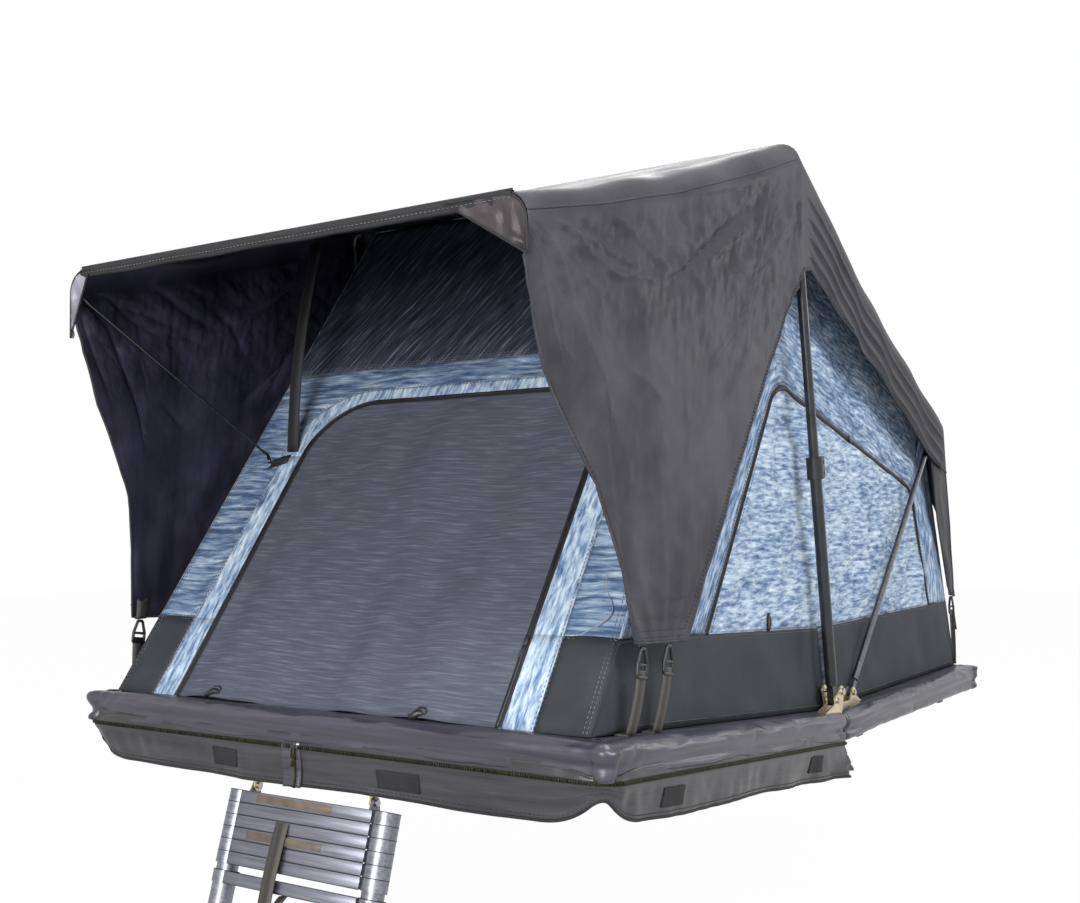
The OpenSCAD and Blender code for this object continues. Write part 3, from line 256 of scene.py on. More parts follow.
def coated_cloth(tree, shader, dark, mid, pale, wrinkle=(18.0, 110.0), rough=(0.3, 0.46), depth=0.0014,
                 sheen=0.0, shine=0.3):
    """Thin coated polyester: a low sheen that breaks on fine crumples, with an uneven tone."""
    cloth = node(tree, "UVMap", uv_map=CLOTH)[0]
    cloud = node(tree, "TexNoise", {0: cloth}, {"Scale": per(190), "Detail": 5, "Roughness": 0.6})[0]
    tone = node(tree, "ValToRGB", {0: cloud}, stops=[(0.3, dark), (0.5, mid), (0.72, pale)])[0]
    place = node(tree, "Mapping", {0: cloth}, {"Scale": (per(wrinkle[0]), per(wrinkle[1]), 1)})[0]
    fine = node(tree, "TexNoise", {0: place}, {"Scale": 1, "Detail": 3, "Distortion": 0.4})[0]
    # The weave is 0.4 mm, too fine to show, and is drawn at 3 mm
    weave = node(tree, "TexNoise", {0: cloth}, {"Scale": per(3), "Detail": 1})[0]
    low = node(tree, "Bump", {"Height": fine}, {"Strength": 0.7, "Distance": depth})[0]
    relief = node(tree, "Bump", {"Height": weave, "Normal": low}, {"Strength": 0.2, "Distance": 0.0004})[0]
    gloss = node(tree, "MapRange", {0: cloud}, {1: 0.3, 2: 0.7, 3: rough[0], 4: rough[1]})[0]
    wire(tree, shader, {"Base Color": tone, "Roughness": gloss, "Normal": relief},
         {"Sheen Weight": sheen, "Specular IOR Level": shine})


def coated_vinyl(tree, shader, dark, mid, pale):
    """PVC-coated cloth: a dull shine, pale ridges and dark hollows painted as highlight and shade, a pebbled
    skin and short creases.
    """
    cloth = node(tree, "UVMap", uv_map=CLOTH)[0]
    long = node(tree, "Mapping", {0: cloth}, {"Scale": (per(300), per(17), 1)})[0]
    cloud = node(tree, "TexNoise", {0: long},
                 {"Scale": 1, "Detail": 3, "Roughness": 0.5, "Distortion": 0.4})[0]
    # The tone follows the noise that raises the low relief: painted highlight on its ridges, painted shade in
    # its hollows
    tone = node(tree, "ValToRGB", {0: cloud}, stops=[(0.28, dark), (0.5, mid), (0.75, pale)])[0]
    # The skin's grain is 0.8 mm, drawn at 3 mm so that it shows
    grain = node(tree, "TexVoronoi", {0: cloth}, {"Scale": per(3)})[0]
    low = node(tree, "Bump", {"Height": cloud}, {"Strength": 0.7, "Distance": 0.003})[0]
    relief = node(tree, "Bump", {"Height": grain, "Normal": low}, {"Strength": 0.15, "Distance": 0.0004})[0]
    gloss = node(tree, "MapRange", {0: cloud}, {1: 0.3, 2: 0.7, 3: 0.27, 4: 0.42})[0]
    wire(tree, shader, {"Base Color": tone, "Roughness": gloss, "Normal": relief})


def door_mesh(tree, shader):
    """Fine polyester mesh in mixed greys: short pale dashes along the thread on charcoal."""
    cloth = node(tree, "UVMap", uv_map=CLOTH)[0]
    place = node(tree, "Mapping", {0: cloth}, {"Scale": (per(90), per(5), 1)})[0]
    dash = node(tree, "TexNoise", {0: place}, {"Scale": 1, "Detail": 3, "Roughness": 0.6})[0]
    tone = node(tree, "ValToRGB", {0: dash},
                stops=[(0.32, shade("#464a54")), (0.52, hue("mesh")), (0.78, shade("#6c727e"))])[0]
    # Holes are 1 mm apart, drawn at 4 mm
    holes = node(tree, "TexVoronoi", {0: cloth}, {"Scale": per(4), "Randomness": 0.1})[0]
    relief = node(tree, "Bump", {"Height": holes}, {"Strength": 0.3, "Distance": 0.0006})[0]
    wire(tree, shader, {"Base Color": tone, "Normal": relief}, {"Roughness": 0.75, "Specular IOR Level": 0.2})


def black_canvas_painted_sheen(tree, shader):
    """Black canvas with painted bluish sheen: long pale slanting strokes."""
    cloth = node(tree, "UVMap", uv_map=CLOTH)[0]
    place = node(tree, "Mapping", {0: cloth}, {"Rotation": (0, 0, 1.15), "Scale": (110 * MM, 9 * MM, 1)},
                 vector_type="TEXTURE")[0]
    stroke = node(tree, "TexNoise", {0: place}, {"Scale": 1, "Detail": 4, "Roughness": 0.6})[0]
    # The pale stops are painted sheen lines on the black cloth
    tone = node(tree, "ValToRGB", {0: stroke},
                stops=[(0.38, shade("#2c2e37")), (0.55, shade("#474c5a")), (0.78, shade("#8d96ab"))])[0]
    weave = node(tree, "TexNoise", {0: cloth}, {"Scale": per(3)})[0]
    relief = node(tree, "Bump", {"Height": weave}, {"Strength": 0.2, "Distance": 0.0004})[0]
    wire(tree, shader, {"Base Color": tone, "Normal": relief}, {"Roughness": 0.8, "Specular IOR Level": 0.2})


def ribbed_tape(tree, shader, dark, pale, rib=4.0):
    """Woven tape: broad ribs along its length and a faint cross thread, paler on the ribs."""
    cloth = node(tree, "UVMap", uv_map=CLOTH)[0]
    ribs = node(tree, "TexWave", {0: cloth}, {"Scale": wave_per(rib), "Distortion": 0.4},
                bands_direction="Y")[1]
    thread = node(tree, "TexNoise", {0: cloth}, {"Scale": per(5), "Detail": 3})[0]
    paler_on_ribs = node(tree, "Math", {0: ribs, 1: thread}, operation="MULTIPLY")[0]
    tone = node(tree, "ValToRGB", {0: paler_on_ribs}, stops=[(0.05, dark), (0.6, pale)])[0]
    relief = node(tree, "Bump", {"Height": ribs}, {"Strength": 0.5, "Distance": 0.0006})[0]
    wire(tree, shader, {"Base Color": tone, "Normal": relief}, {"Roughness": 0.72})


def moulded(tree, shader, dark, pale, rough, grain=1.5):
    """Moulded plastic or rubber: an even fine grain and slightly uneven gloss."""
    place = node(tree, "TexCoord")["Object"]
    skin = node(tree, "TexNoise", {0: place}, {"Scale": per(grain), "Detail": 2})[0]
    cloud = node(tree, "TexNoise", {0: place}, {"Scale": per(40), "Detail": 3})[0]
    tone = node(tree, "ValToRGB", {0: cloud}, stops=[(0.3, dark), (0.7, pale)])[0]
    gloss = node(tree, "MapRange", {0: cloud}, {1: 0.3, 2: 0.7, 3: rough - 0.06, 4: rough + 0.08})[0]
    relief = node(tree, "Bump", {"Height": skin}, {"Strength": 0.15, "Distance": 0.0003})[0]
    wire(tree, shader, {"Base Color": tone, "Roughness": gloss, "Normal": relief})


def bare_metal(tree, shader, dark, pale, rough, draw=(8.0, 8.0, 160.0), metallic=1.0, depth=0.0002):
    """Rolled, drawn or plated metal: faint marks along the draw and a mottled gloss."""
    place = node(tree, "TexCoord")["Object"]
    line = node(tree, "Mapping", {0: place}, {"Scale": tuple(per(d) for d in draw)})[0]
    marks = node(tree, "TexNoise", {0: line}, {"Scale": 1, "Detail": 5, "Roughness": 0.65})[0]
    tone = node(tree, "ValToRGB", {0: marks}, stops=[(0.3, dark), (0.7, pale)])[0]
    gloss = node(tree, "MapRange", {0: marks}, {1: 0.3, 2: 0.7, 3: rough - 0.07, 4: rough + 0.1})[0]
    relief = node(tree, "Bump", {"Height": marks}, {"Strength": 0.2, "Distance": depth})[0]
    wire(tree, shader, {"Base Color": tone, "Roughness": gloss, "Normal": relief}, {"Metallic": metallic})


def canvas_stops(lift=0.0, light=1.0):
    """Yarn tones of the canvas from deep to fleck; lift moves it towards its pale yarn, light dims it as
    painted shade.
    """
    yarns = hue("canvas_deep"), hue("canvas_mid"), hue("canvas_pale"), shade("#dde8f0")
    return [(place, tuple(light * c for c in yarn))
            for place, yarn in zip((0.36 - lift, 0.47 - lift, 0.6 - lift, 0.72), yarns)]


FINISHES = {
    "space-dyed canvas": lambda t, s: dyed_canvas(t, s, canvas_stops()),
    "space-dyed canvas, pale": lambda t, s: dyed_canvas(t, s, canvas_stops(0.05)),
    # The front wall's canvas is the same cloth dimmed by light 0.8: painted shade under the awning
    "space-dyed canvas, front": lambda t, s: dyed_canvas(t, s, canvas_stops(-0.02, 0.8), 95.0, 11.0),
    "coated polyester": lambda t, s: coated_cloth(
        t, s, shade("#2f2f33"), hue("fly"), shade("#4b4b50"), wrinkle=(26.0, 130.0), rough=(0.38, 0.54),
        depth=0.0008, shine=0.11),
    "black coated lining": lambda t, s: coated_cloth(
        t, s, shade("#1f1e27"), hue("fly_lining"), shade("#484258"), rough=(0.3, 0.46)),
    "pvc-coated polyester": lambda t, s: coated_vinyl(t, s, shade("#2b2a31"), hue("vinyl"), shade("#4b4854")),
    # The skirt's copy of the vinyl is darker: painted shade under the edge roll
    "pvc-coated polyester, skirt, painted shade": lambda t, s: coated_vinyl(
        t, s, shade("#242327"), hue("skirt"), shade("#3f3e43")),
    "charcoal canvas": lambda t, s: coated_cloth(
        t, s, shade("#25282c"), hue("band"), shade("#3d4146"), wrinkle=(60.0, 60.0), rough=(0.7, 0.85),
        depth=0.0006),
    "brushed black canvas": black_canvas_painted_sheen,
    "polyester mesh": door_mesh,
    "black binding tape": lambda t, s: ribbed_tape(t, s, shade("#0c0c0e"), shade("#232326")),
    "zip tape": lambda t, s: ribbed_tape(t, s, shade("#0b0c0e"), shade("#26282c"), 5.0),
    "nylon zip coil": lambda t, s: moulded(t, s, shade("#15161a"), shade("#2c2e33"), 0.4),
    "brass zip teeth": lambda t, s: bare_metal(t, s, shade("#191815"), shade("#45412f"), 0.5),
    "polyester webbing": lambda t, s: ribbed_tape(t, s, shade("#2b2926"), hue("webbing")),
    # Pale cloth of the loose zip tape, and of the left gusset as painted backlight shining through it
    "pale gusset cloth": lambda t, s: coated_cloth(
        t, s, shade("#6d6974"), shade("#9794a0"), shade("#b4b2ba"), wrinkle=(22.0, 22.0)),
    "brown gusset cloth": lambda t, s: coated_cloth(
        t, s, shade("#2f2b2d"), shade("#453f41"), shade("#5d5658"), wrinkle=(16.0, 40.0), shine=0.15),
    "sewing thread": lambda t, s: moulded(t, s, shade("#4d4c51"), shade("#727177"), 0.7),
    "dark thread": lambda t, s: moulded(t, s, shade("#1a1b1e"), shade("#33353a"), 0.7),
    "moulded nylon": lambda t, s: moulded(t, s, shade("#0d0e0f"), shade("#1c1d1f"), 0.38),
    "moulded rubber": lambda t, s: moulded(t, s, shade("#131313"), shade("#242424"), 0.7, 2.5),
    "hook-and-loop tape": lambda t, s: moulded(t, s, shade("#131214"), shade("#262528"), 0.9, 3.0),
    "black powder-coated tube": lambda t, s: moulded(t, s, shade("#141517"), shade("#222326"), 0.3),
    "grey coated tube": lambda t, s: bare_metal(t, s, shade("#4c4f53"), shade("#6f7276"), 0.35),
    "anodised aluminium": lambda t, s: bare_metal(t, s, shade("#6c6e77"), hue("ladder"), 0.4, (160, 6, 6)),
    "extruded aluminium": lambda t, s: bare_metal(
        t, s, shade("#83868b"), shade("#a5a8ad"), 0.35, (200, 8, 8)),
    "yellow zinc steel": lambda t, s: bare_metal(
        t, s, shade("#b5a177"), hue("zinc"), 0.32, (60, 60, 60), metallic=0.85),
    "zinc-plated steel": lambda t, s: bare_metal(t, s, shade("#8f9296"), shade("#c0c2c5"), 0.3, (20, 20, 20)),
    "sandwich board": lambda t, s: moulded(t, s, shade("#8d9094"), shade("#a9acb0"), 0.5, 6.0),
    "mattress knit": lambda t, s: coated_cloth(
        t, s, shade("#3b3e44"), shade("#4b4f57"), shade("#5f646d"), wrinkle=(12.0, 12.0), rough=(0.8, 0.92),
        sheen=0.2),
    "label foil": lambda t, s: moulded(t, s, shade("#4d4238"), shade("#6a5d50"), 0.4),
}

NODE_FINISHES = {
    "extruded aluminium": ["mounting_rails", "front_edge_frame", "rear_edge_frame"],
    "moulded nylon": ["rail_end_caps", "leg_clamps", "main_hoop_plugs"],
    "zinc-plated steel": ["rail_bolts", "rail_studs", "hinge_pins", "rear_hoop_bolts", "main_hoop_bolts",
                          "clamp_screws", "ladder_bolts"],
    "yellow zinc steel": ["rear_hinge_leaves", "front_hinge_leaves", "ladder_brackets"],
    "sandwich board": ["rear_board", "front_board"],
    "black powder-coated tube": ["main_hoop_legs", "main_hoop_bow"],
    "grey coated tube": ["rear_hoop", "rear_hoop_ends"],
    "anodised aluminium": [f"ladder_section_{i}" for i in range(1, 8)],
    "moulded rubber": ["ladder_feet"],
}


def finish(name):
    """The material of that name, made when it is first asked for."""
    made = bpy.data.materials.get(name)
    if made is None:
        made = bpy.data.materials.new(name)
        made.use_nodes = True
        FINISHES[name](made.node_tree, made.node_tree.nodes["Principled BSDF"])
    return made


def unit(v):
    """Directions of length 1."""
    v = np.asarray(v, float)
    return v / np.maximum(np.linalg.norm(v, axis=-1, keepdims=True), 1e-9)


def tilted(points):
    """Turns flat-drawn places of the fold-out half up to the open stop."""
    p = np.array(points, float)
    v = p[..., 1:] - FOLD
    c, s = math.cos(OPEN_TILT), math.sin(OPEN_TILT)
    p[..., 1] = FOLD[0] + v[..., 0] * c + v[..., 1] * s
    p[..., 2] = FOLD[1] - v[..., 0] * s + v[..., 1] * c
    return p


def crumple(u, v, size, seed, sharp=False):
    """Random relief of about -1 to 1 over places u and v in millimetres, its folds about size long."""
    draw = np.random.default_rng(seed)
    relief = 0.0
    waves = 16
    for _ in range(waves):
        turn, shift = draw.uniform(0, 2 * math.pi, 2)
        length = size * draw.uniform(0.5, 1.7)
        wave = np.sin(2 * math.pi * (u * math.cos(turn) + v * math.sin(turn)) / length + shift)
        relief = relief + (1 - 2 * np.abs(wave) ** 0.7 if sharp else wave) * length / size
    return relief / (0.8 * math.sqrt(waves))


def laid(*parts):
    """Arrays of matching shapes joined into places, such as (x, y, z), or (u, v) on a cloth."""
    return np.stack(np.broadcast_arrays(*parts), axis=-1)


def reached(line, axis=0):
    """Distance from the start to each place of a line, or along one axis of a grid."""
    steps = np.diff(line, axis=axis, prepend=np.take(line, [0], axis))
    return np.cumsum(np.linalg.norm(steps, axis=-1), axis=axis)


def spaced(line, count):
    """Places evenly spaced along a broken line."""
    line = np.asarray(line, float)
    run = reached(line)
    at = np.linspace(0, run[-1], count)
    return np.stack([np.interp(at, run, column) for column in line.T], axis=1)


def mirrored(half, whole=False):
    """Places of a line or strip with the first number turned over; whole joins both sides of a half line."""
    return np.concatenate([half, (half * [-1, 1])[-2::-1]]) if whole else half * [-1, 1]


def crosswise(line):
    """Directions square to a line of pairs."""
    return unit(laid(-np.gradient(line[:, 1]), np.gradient(line[:, 0])))


def arc(centre, radius, start, end, count):
    """Places along an arc, its angles in degrees."""
    a = np.radians(np.linspace(start, end, count))
    return laid(centre[0] + radius * np.cos(a), centre[1] + radius * np.sin(a))


def grid_normals(g):
    """Directions straight out of a grid of places."""
    return unit(np.cross(np.gradient(g, axis=0), np.gradient(g, axis=1)))


class Work:
    """Grids, tubes and small solids, in millimetres, that make up one piece."""

    def __init__(self):
        self.points, self.faces, self.cloth, self.slots, self.count = [], [], [], [], 0

    def add(self, points, faces, cloth=None, slot=0):
        """Adds places and the faces between them."""
        points = np.asarray(points, float).reshape(-1, 3)
        self.points.append(points)
        self.cloth.append(np.zeros((len(points), 2)) if cloth is None else np.asarray(cloth).reshape(-1, 2))
        self.faces += [tuple(int(i) + self.count for i in face) for face in faces]
        self.slots += [slot] * len(faces)
        self.count += len(points)
        return self

    def grid(self, g, cloth=None, slot=0, ring=False):
        """Adds a sheet given as rows of places; ring closes each row on itself."""
        g = np.asarray(g, float)
        n, m = g.shape[:2]
        index = np.arange(n * m).reshape(n, m)
        last = np.roll(index, -1, axis=1) if ring else index[:, 1:]
        first = index if ring else index[:, :-1]
        faces = np.stack([first[:-1], last[:-1], last[1:], first[1:]], axis=-1).reshape(-1, 4)
        return self.add(g, faces.tolist(), cloth, slot)

    def tube(self, path, radius, sides=8, slot=0):
        """Adds a round bar along a path, with closed ends."""
        path = np.asarray(path, float)
        along = unit(np.gradient(path, axis=0))
        side = np.zeros_like(path)
        last = np.array([1.0, 0, 0]) if abs(along[0][0]) < 0.9 else np.array([0, 0, 1.0])
        for i, a in enumerate(along):
            last = unit(last - a * np.dot(last, a))
            side[i] = last
        up = np.cross(along, side)
        a = np.linspace(0, 2 * math.pi, sides, endpoint=False)
        reach = np.broadcast_to(radius, len(path))[:, None, None]
        turn = np.cos(a)[:, None] * side[:, None] + np.sin(a)[:, None] * up[:, None]
        return self.rod(path[:, None] + reach * turn, laid(reached(path)[:, None], a * np.max(radius)), slot)

    def rod(self, g, cloth, slot=0, turned=False):
        """Adds a closed form given as rings of places, with flat ends; turned if the rings run clockwise."""
        start, (n, m) = self.count, g.shape[:2]
        self.grid(g, cloth, slot, ring=True)
        ends = [list(range(first, first + m)) for first in (start, start + (n - 1) * m)]
        ends[turned].reverse()
        self.faces += [tuple(end) for end in ends]
        self.slots += [slot] * 2
        return self

    def block(self, centre, along, up, size, slot=0, ease=0.25):
        """Adds a small block with eased edges, its size given along, across and up."""
        along, up = unit(along), np.asarray(up, float)
        up = unit(up - along * np.dot(up, along))
        across = np.cross(up, along)
        size = np.asarray(size, float) / 2
        cut = ease * size.min()
        rim = [(1, 1), (1, -1), (-1, -1), (-1, 1)]
        points = []
        for level, inset in ((-1, cut), (-1 + cut / size[2], 0), (1 - cut / size[2], 0), (1, cut)):
            for a, b in rim:
                points.append(centre + along * a * (size[0] - inset) + across * b * (size[1] - inset)
                              + up * level * size[2])
        faces = [(0, 3, 2, 1), (12, 13, 14, 15)]
        for k in (0, 4, 8):
            faces += [(k + j, k + (j + 1) % 4, k + 4 + (j + 1) % 4, k + 4 + j) for j in range(4)]
        return self.add(points, faces, None, slot)

    def stitches(self, path, out, slot=0, gap=0.7, thread=1.3):
        """Adds a row of stitches along a path; out points away from the cloth."""
        length = np.linalg.norm(np.diff(path, axis=0), axis=1).sum()
        count = max(int(length / (sizes().stitch / MM * (1 + gap))), 1)
        ends = spaced(path, 2 * count)
        out = np.asarray(out, float)
        for k in range(count):
            a, b = ends[2 * k], ends[2 * k + 1]
            up = out if out.ndim == 1 else out[min(int(k / count * len(out)), len(out) - 1)]
            self.block((a + b) / 2, b - a, up, (np.linalg.norm(b - a), thread, thread), slot)
        return self

    def ribbon(self, path, across, width, slot=0, columns=3):
        """Adds a flat strip along a path, its width along across."""
        path, across = np.asarray(path, float), unit(across)
        w = np.linspace(-width / 2, width / 2, columns)
        g = path[:, None] + w[:, None] * np.broadcast_to(across, path.shape)[:, None]
        return self.grid(g, laid(reached(path)[:, None], w), slot)

    def make(self, name, body, *finishes, thick=0.0, lining=0, keep=None):
        """Makes the piece's object on a body; thick gives cloth its thickness, keep trims it at the fold."""
        mesh = bpy.data.meshes.new(name)
        mesh.from_pydata((np.concatenate(self.points) * MM).tolist(), [], self.faces)
        cloth = mesh.uv_layers.new(name=CLOTH)
        corner = np.empty(len(mesh.loops), int)
        mesh.loops.foreach_get("vertex_index", corner)
        cloth.uv.foreach_set("vector", (np.concatenate(self.cloth)[corner] * MM).ravel())
        mesh.polygons.foreach_set("material_index", self.slots)
        mesh.polygons.foreach_set("use_smooth", [True] * len(self.faces))
        for name_of in finishes:
            mesh.materials.append(finish(name_of))
        shape = bmesh.new()
        shape.from_mesh(mesh)
        if keep:
            plane = (0, (FOLD[0] + OVERLAP * keep) * MM, 0)
            bmesh.ops.bisect_plane(shape, geom=[*shape.verts, *shape.edges, *shape.faces], dist=1e-6,
                                   plane_co=plane, plane_no=(0, keep, 0), clear_outer=True)
        bmesh.ops.recalc_face_normals(shape, faces=shape.faces)
        shape.to_mesh(mesh)
        shape.free()
        made = bpy.data.objects.new(name, mesh)
        bpy.context.collection.objects.link(made)
        if thick:
            solid = made.modifiers.new("cloth thickness", "SOLIDIFY")
            solid.thickness, solid.offset, solid.material_offset = thick * MM, 0, lining
        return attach(made, body)

    def make_folding(self, name, half, *finishes, **how):
        """Makes a piece of soft goods on one half of the base, with a mesh of its own; the place where it
        would lie flat between the shut halves is worked out but not used.
        """
        made = self.make(name, half, *finishes, **how)
        anchor, up = np.array([0, FOLD[0], SHUT_REAR]), np.array([0.0, 0.0, 1.0])
        if half == "fold_out_half":
            anchor = tilted([0, FOLD[0], SHUT_FRONT])
            up = unit(tilted([0, FOLD[0], FOLD[1] + 1]) - [0, *FOLD])
        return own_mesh(made)

    def make_halves(self, name, *finishes, **how):
        """Makes a piece that crosses the fold as one part on each half of the base."""
        return [self.make_folding(f"{name}_{end}", half, *finishes, keep=1 if end == "front" else -1, **how)
                for end, half in HALVES.items()]


def wall_x(z):
    """Half the canvas body's width at a height."""
    return WALL_FOOT_X - WALL_LEAN * (np.asarray(z, float) - ROLL_TOP)


def front_point(x, s, out=0.0):
    """A place on the front wall: x across, s up the slope, out away from the wall."""
    return laid(x, *(FRONT_FOOT[k] + s * WALL_UP[k] + out * WALL_OUT[k] for k in (0, 1)))


def front_half_w(s):
    """Half the front wall's width at a place up its slope."""
    return wall_x(FRONT_FOOT[1] + np.asarray(s, float) * WALL_UP[1])


def side_point(side, y, z, out=0.0):
    """A place on a side wall."""
    return laid(side * (wall_x(z) + out), y, z)


def seam_z(y):
    """Height of the lower band's seam along a side; it drops a little towards the front."""
    flat = 294.0 - 28.0 * np.clip((FOLD[0] - y) / 1113.0, 0, 1)
    rise = np.where(y < FOLD[0], (FOLD[0] - y) * math.tan(OPEN_TILT), 0)
    return flat + rise


# Where the lower band's seam meets the rear wall
REAR_SEAM = REAR_FOOT + (float(seam_z(REAR_FOOT[0])) - REAR_FOOT[1]) / (REAR_TOP[1] - REAR_FOOT[1]) * (
    REAR_TOP - REAR_FOOT)


# Least share of its rectangle that a cut cloth fills
LEAST_FILL = 0.35


def cut_size(made):
    """Width, length and area of a piece's cloth in metres, cut narrower where its layout is mostly bare."""
    mesh = made.data
    flat = np.empty(len(mesh.loops) * 2)
    mesh.uv_layers[CLOTH].uv.foreach_get("vector", flat)
    flat = flat.reshape(-1, 2)
    area = 0.0
    for face in mesh.polygons:
        c = flat[face.loop_start:face.loop_start + face.loop_total]
        n = np.roll(c, -1, axis=0)
        area += abs(np.sum(c[:, 0] * n[:, 1] - n[:, 0] * c[:, 1])) / 2
    width, length = np.sort(flat.max(axis=0) - flat.min(axis=0))
    width = min(width, area / (LEAST_FILL * length))
    length = max(length, area / width)
    return float(width), float(length), float(area)


def as_sheet(made):
    """Works out the size of a piece's cloth from its flat layout, and returns the piece."""
    width, length, area = cut_size(made)
    return made


def stand_for(pieces, *nodes):
    """Hides soft solids whose place soft pieces take, finding for each solid a piece on its own body."""
    taken = {}
    for solid in nodes:
        body = body_of(frame["nodes"][solid])
        owner = next(p for p in pieces if body_of(p) == body)
        taken.setdefault(owner.name, (owner, []))[1].append(solid)
    for owner, solids in taken.values():
        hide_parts(*solids)


def swell(made, held, pressure, shrink, frames=20):
    """Lets padding push its cover out: a short cloth simulation, capped and kept in the mesh."""
    mesh = made.data
    start = np.empty(len(mesh.vertices) * 3)
    mesh.vertices.foreach_get("co", start)
    start = start.reshape(-1, 3)
    group = made.vertex_groups.new(name="held")
    group.add([int(i) for i in np.flatnonzero(held)], 1.0, "REPLACE")
    cloth = made.modifiers.new("padding", "CLOTH")
    cloth.settings.vertex_group_mass = "held"
    cloth.settings.use_pressure = True
    cloth.settings.uniform_pressure_force = pressure
    cloth.settings.shrink_min = -shrink
    cloth.settings.tension_stiffness = 25
    cloth.settings.compression_stiffness = 25
    cloth.settings.bending_stiffness = 0.2
    cloth.settings.effector_weights.gravity = 0
    cloth.point_cache.frame_end = frames
    scene = bpy.context.scene
    for step in range(1, frames + 1):
        scene.frame_set(step)
    done = made.evaluated_get(bpy.context.evaluated_depsgraph_get())
    end = np.empty(len(mesh.vertices) * 3)
    done.data.vertices.foreach_get("co", end)
    made.modifiers.remove(cloth)
    made.vertex_groups.clear()
    scene.frame_set(1)
    move = end.reshape(-1, 3) - start
    far = np.linalg.norm(move, axis=1, keepdims=True)
    move *= np.minimum(1, sizes().roll_swell / np.maximum(far, 1e-9))
    mesh.vertices.foreach_set("co", (start + move).ravel())
    mesh.update()


def roll_section():
    """Section of an edge roll: (outward, z) places round it, and which of them lie on the frame."""
    seat = FRAME_TOP + 0.5
    held = [(-53.5, seat), (-26, seat), (0.5, seat), (0.5, 46), (0.5, ROLL_LOW + 1)]
    free = np.concatenate([arc((5, ROLL_LOW + 8), 8, -90, 0, 4),
                           [(13, 41), (9, 48), (11, 55), (17, 64), (19, 71)],
                           arc((2, ROLL_TOP - 17), 17, 0, 90, 7),
                           [(-11, ROLL_TOP), (-24, ROLL_TOP), (-36, ROLL_TOP)],
                           arc((-45.5, ROLL_TOP - 8.5), 8, 90, 180, 4)])
    return np.concatenate([held, free]), np.arange(len(held) + len(free)) < len(held)


def edge_roll(front):
    """Rows of a roll round one half of the base, drawn flat, and which places lie on the frame."""
    section, on_frame = roll_section()
    sign = 1 if front else -1
    far, near, turn = FOLD[0] - sign * FRAME_END, FOLD[0] - sign * 1.5, 30.0
    base, out = [], []
    for y in np.linspace(near, far + sign * turn, 84):
        base.append((FRAME_HALF_W, y))
        out.append((1, 0))
    for a in np.linspace(0, 90, 12)[1:-1]:
        c, s = math.cos(math.radians(a)), math.sin(math.radians(a))
        base.append((FRAME_HALF_W - turn + turn * c, far + sign * turn * (1 - s)))
        out.append((c, -sign * s))
    for x in np.linspace(FRAME_HALF_W - turn, 0, 52):
        base.append((x, far))
        out.append((0, -sign))
    base, out = mirrored(np.array(base, float), True), mirrored(np.array(out, float), True)
    corner = 16.0 * np.abs(2 * out[:, 0] * out[:, 1])
    run, around = reached(base)[:, None], reached(section)
    # Creases run along the roll and gather at the corners
    off_corner = np.hypot(np.abs(base[:, 0]) - FRAME_HALF_W, base[:, 1] - far)
    gathers = 2.6 * np.exp(-(off_corner / 120) ** 2)[:, None]
    crease = (1.7 * crumple(0.07 * run, around, 34, 15 + front, True)
              + gathers * crumple(run + 0.6 * around, 0.4 * around, 46, 11 + front, True))
    depth, height = section.T
    reach = depth + np.where(on_frame, 0, corner[:, None] + crease * (depth > -30))
    g = np.zeros((len(base), len(section), 3))
    g[..., :2] = base[:, None] + reach[..., None] * out[:, None]
    g[..., 2] = height + np.where(on_frame | (depth < -30), 0, 0.4 * crease)
    held = np.broadcast_to(on_frame | (depth < -34), g.shape[:2])
    return g, laid(run, around), held


class TENT_OT_edge_rolls(bpy.types.Operator):
    """Soft padded rolls along the edges of both base halves"""

    bl_idname = "tent.edge_rolls"
    bl_label = "Edge rolls"

    def execute(self, context):
        for name, body in HALVES.items():
            front = name == "front"
            g, cloth, held = edge_roll(front)
            work = Work().rod(tilted(g) if front else g, cloth, turned=True)
            made = work.make(name + "_edge_roll_cover", body, "pvc-coated polyester")
            swell(made, held.ravel(), pressure=1.0, shrink=0.003)
            smooth = made.modifiers.new("smooth cover", "SUBSURF")
            smooth.levels = smooth.render_levels = 1
            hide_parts(name + "_edge_roll")
        return {"FINISHED"}


class TENT_OT_mattresses(bpy.types.Operator):
    """Foam mattress halves with crowned tops and drawn-in sides"""

    bl_idname = "tent.mattresses"
    bl_label = "Mattresses"

    def execute(self, context):
        low, high, half_w = FRAME_TOP + 0.5, 124.0, 618.0
        middle, near, far = (low + high) / 2, 4.0, 1070.0
        for name, body in HALVES.items():
            front = name == "front"
            mid, half_l = FOLD[0] + (near + far) / 2 * (-1 if front else 1), (far - near) / 2
            u, v = (np.sin(np.linspace(-math.pi / 2, math.pi / 2, count)) for count in (40, 34))
            u, v = np.meshgrid(u, v, indexing="ij")
            edge = np.clip(1 - np.maximum(np.abs(u), np.abs(v)) ** 14, 0, 1) ** 0.5
            pull = 1 - 0.008 * (1 - edge) * np.cos(math.pi * (u + v))
            x, y = half_w * u * pull, mid + half_l * v
            crown = edge * (0.9 + 0.1 * (1 - u ** 2) * (1 - v ** 2) + 0.02 * crumple(x, y, 160, 5 + front))
            work = Work()
            for z in (middle + (high - middle) * crown, middle - (middle - low) * edge):
                g = laid(x, y, z)
                work.grid(tilted(g) if front else g, laid(x, y))
            top = work.points[0].reshape(g.shape)
            work.tube(np.concatenate([top[0], top[1:, -1], top[-1, -2::-1], top[-2::-1, 0]]), 3.0, 6)
            made = work.make(name + "_mattress_cover", body, "mattress knit")
            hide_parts(name + "_mattress")
        return {"FINISHED"}


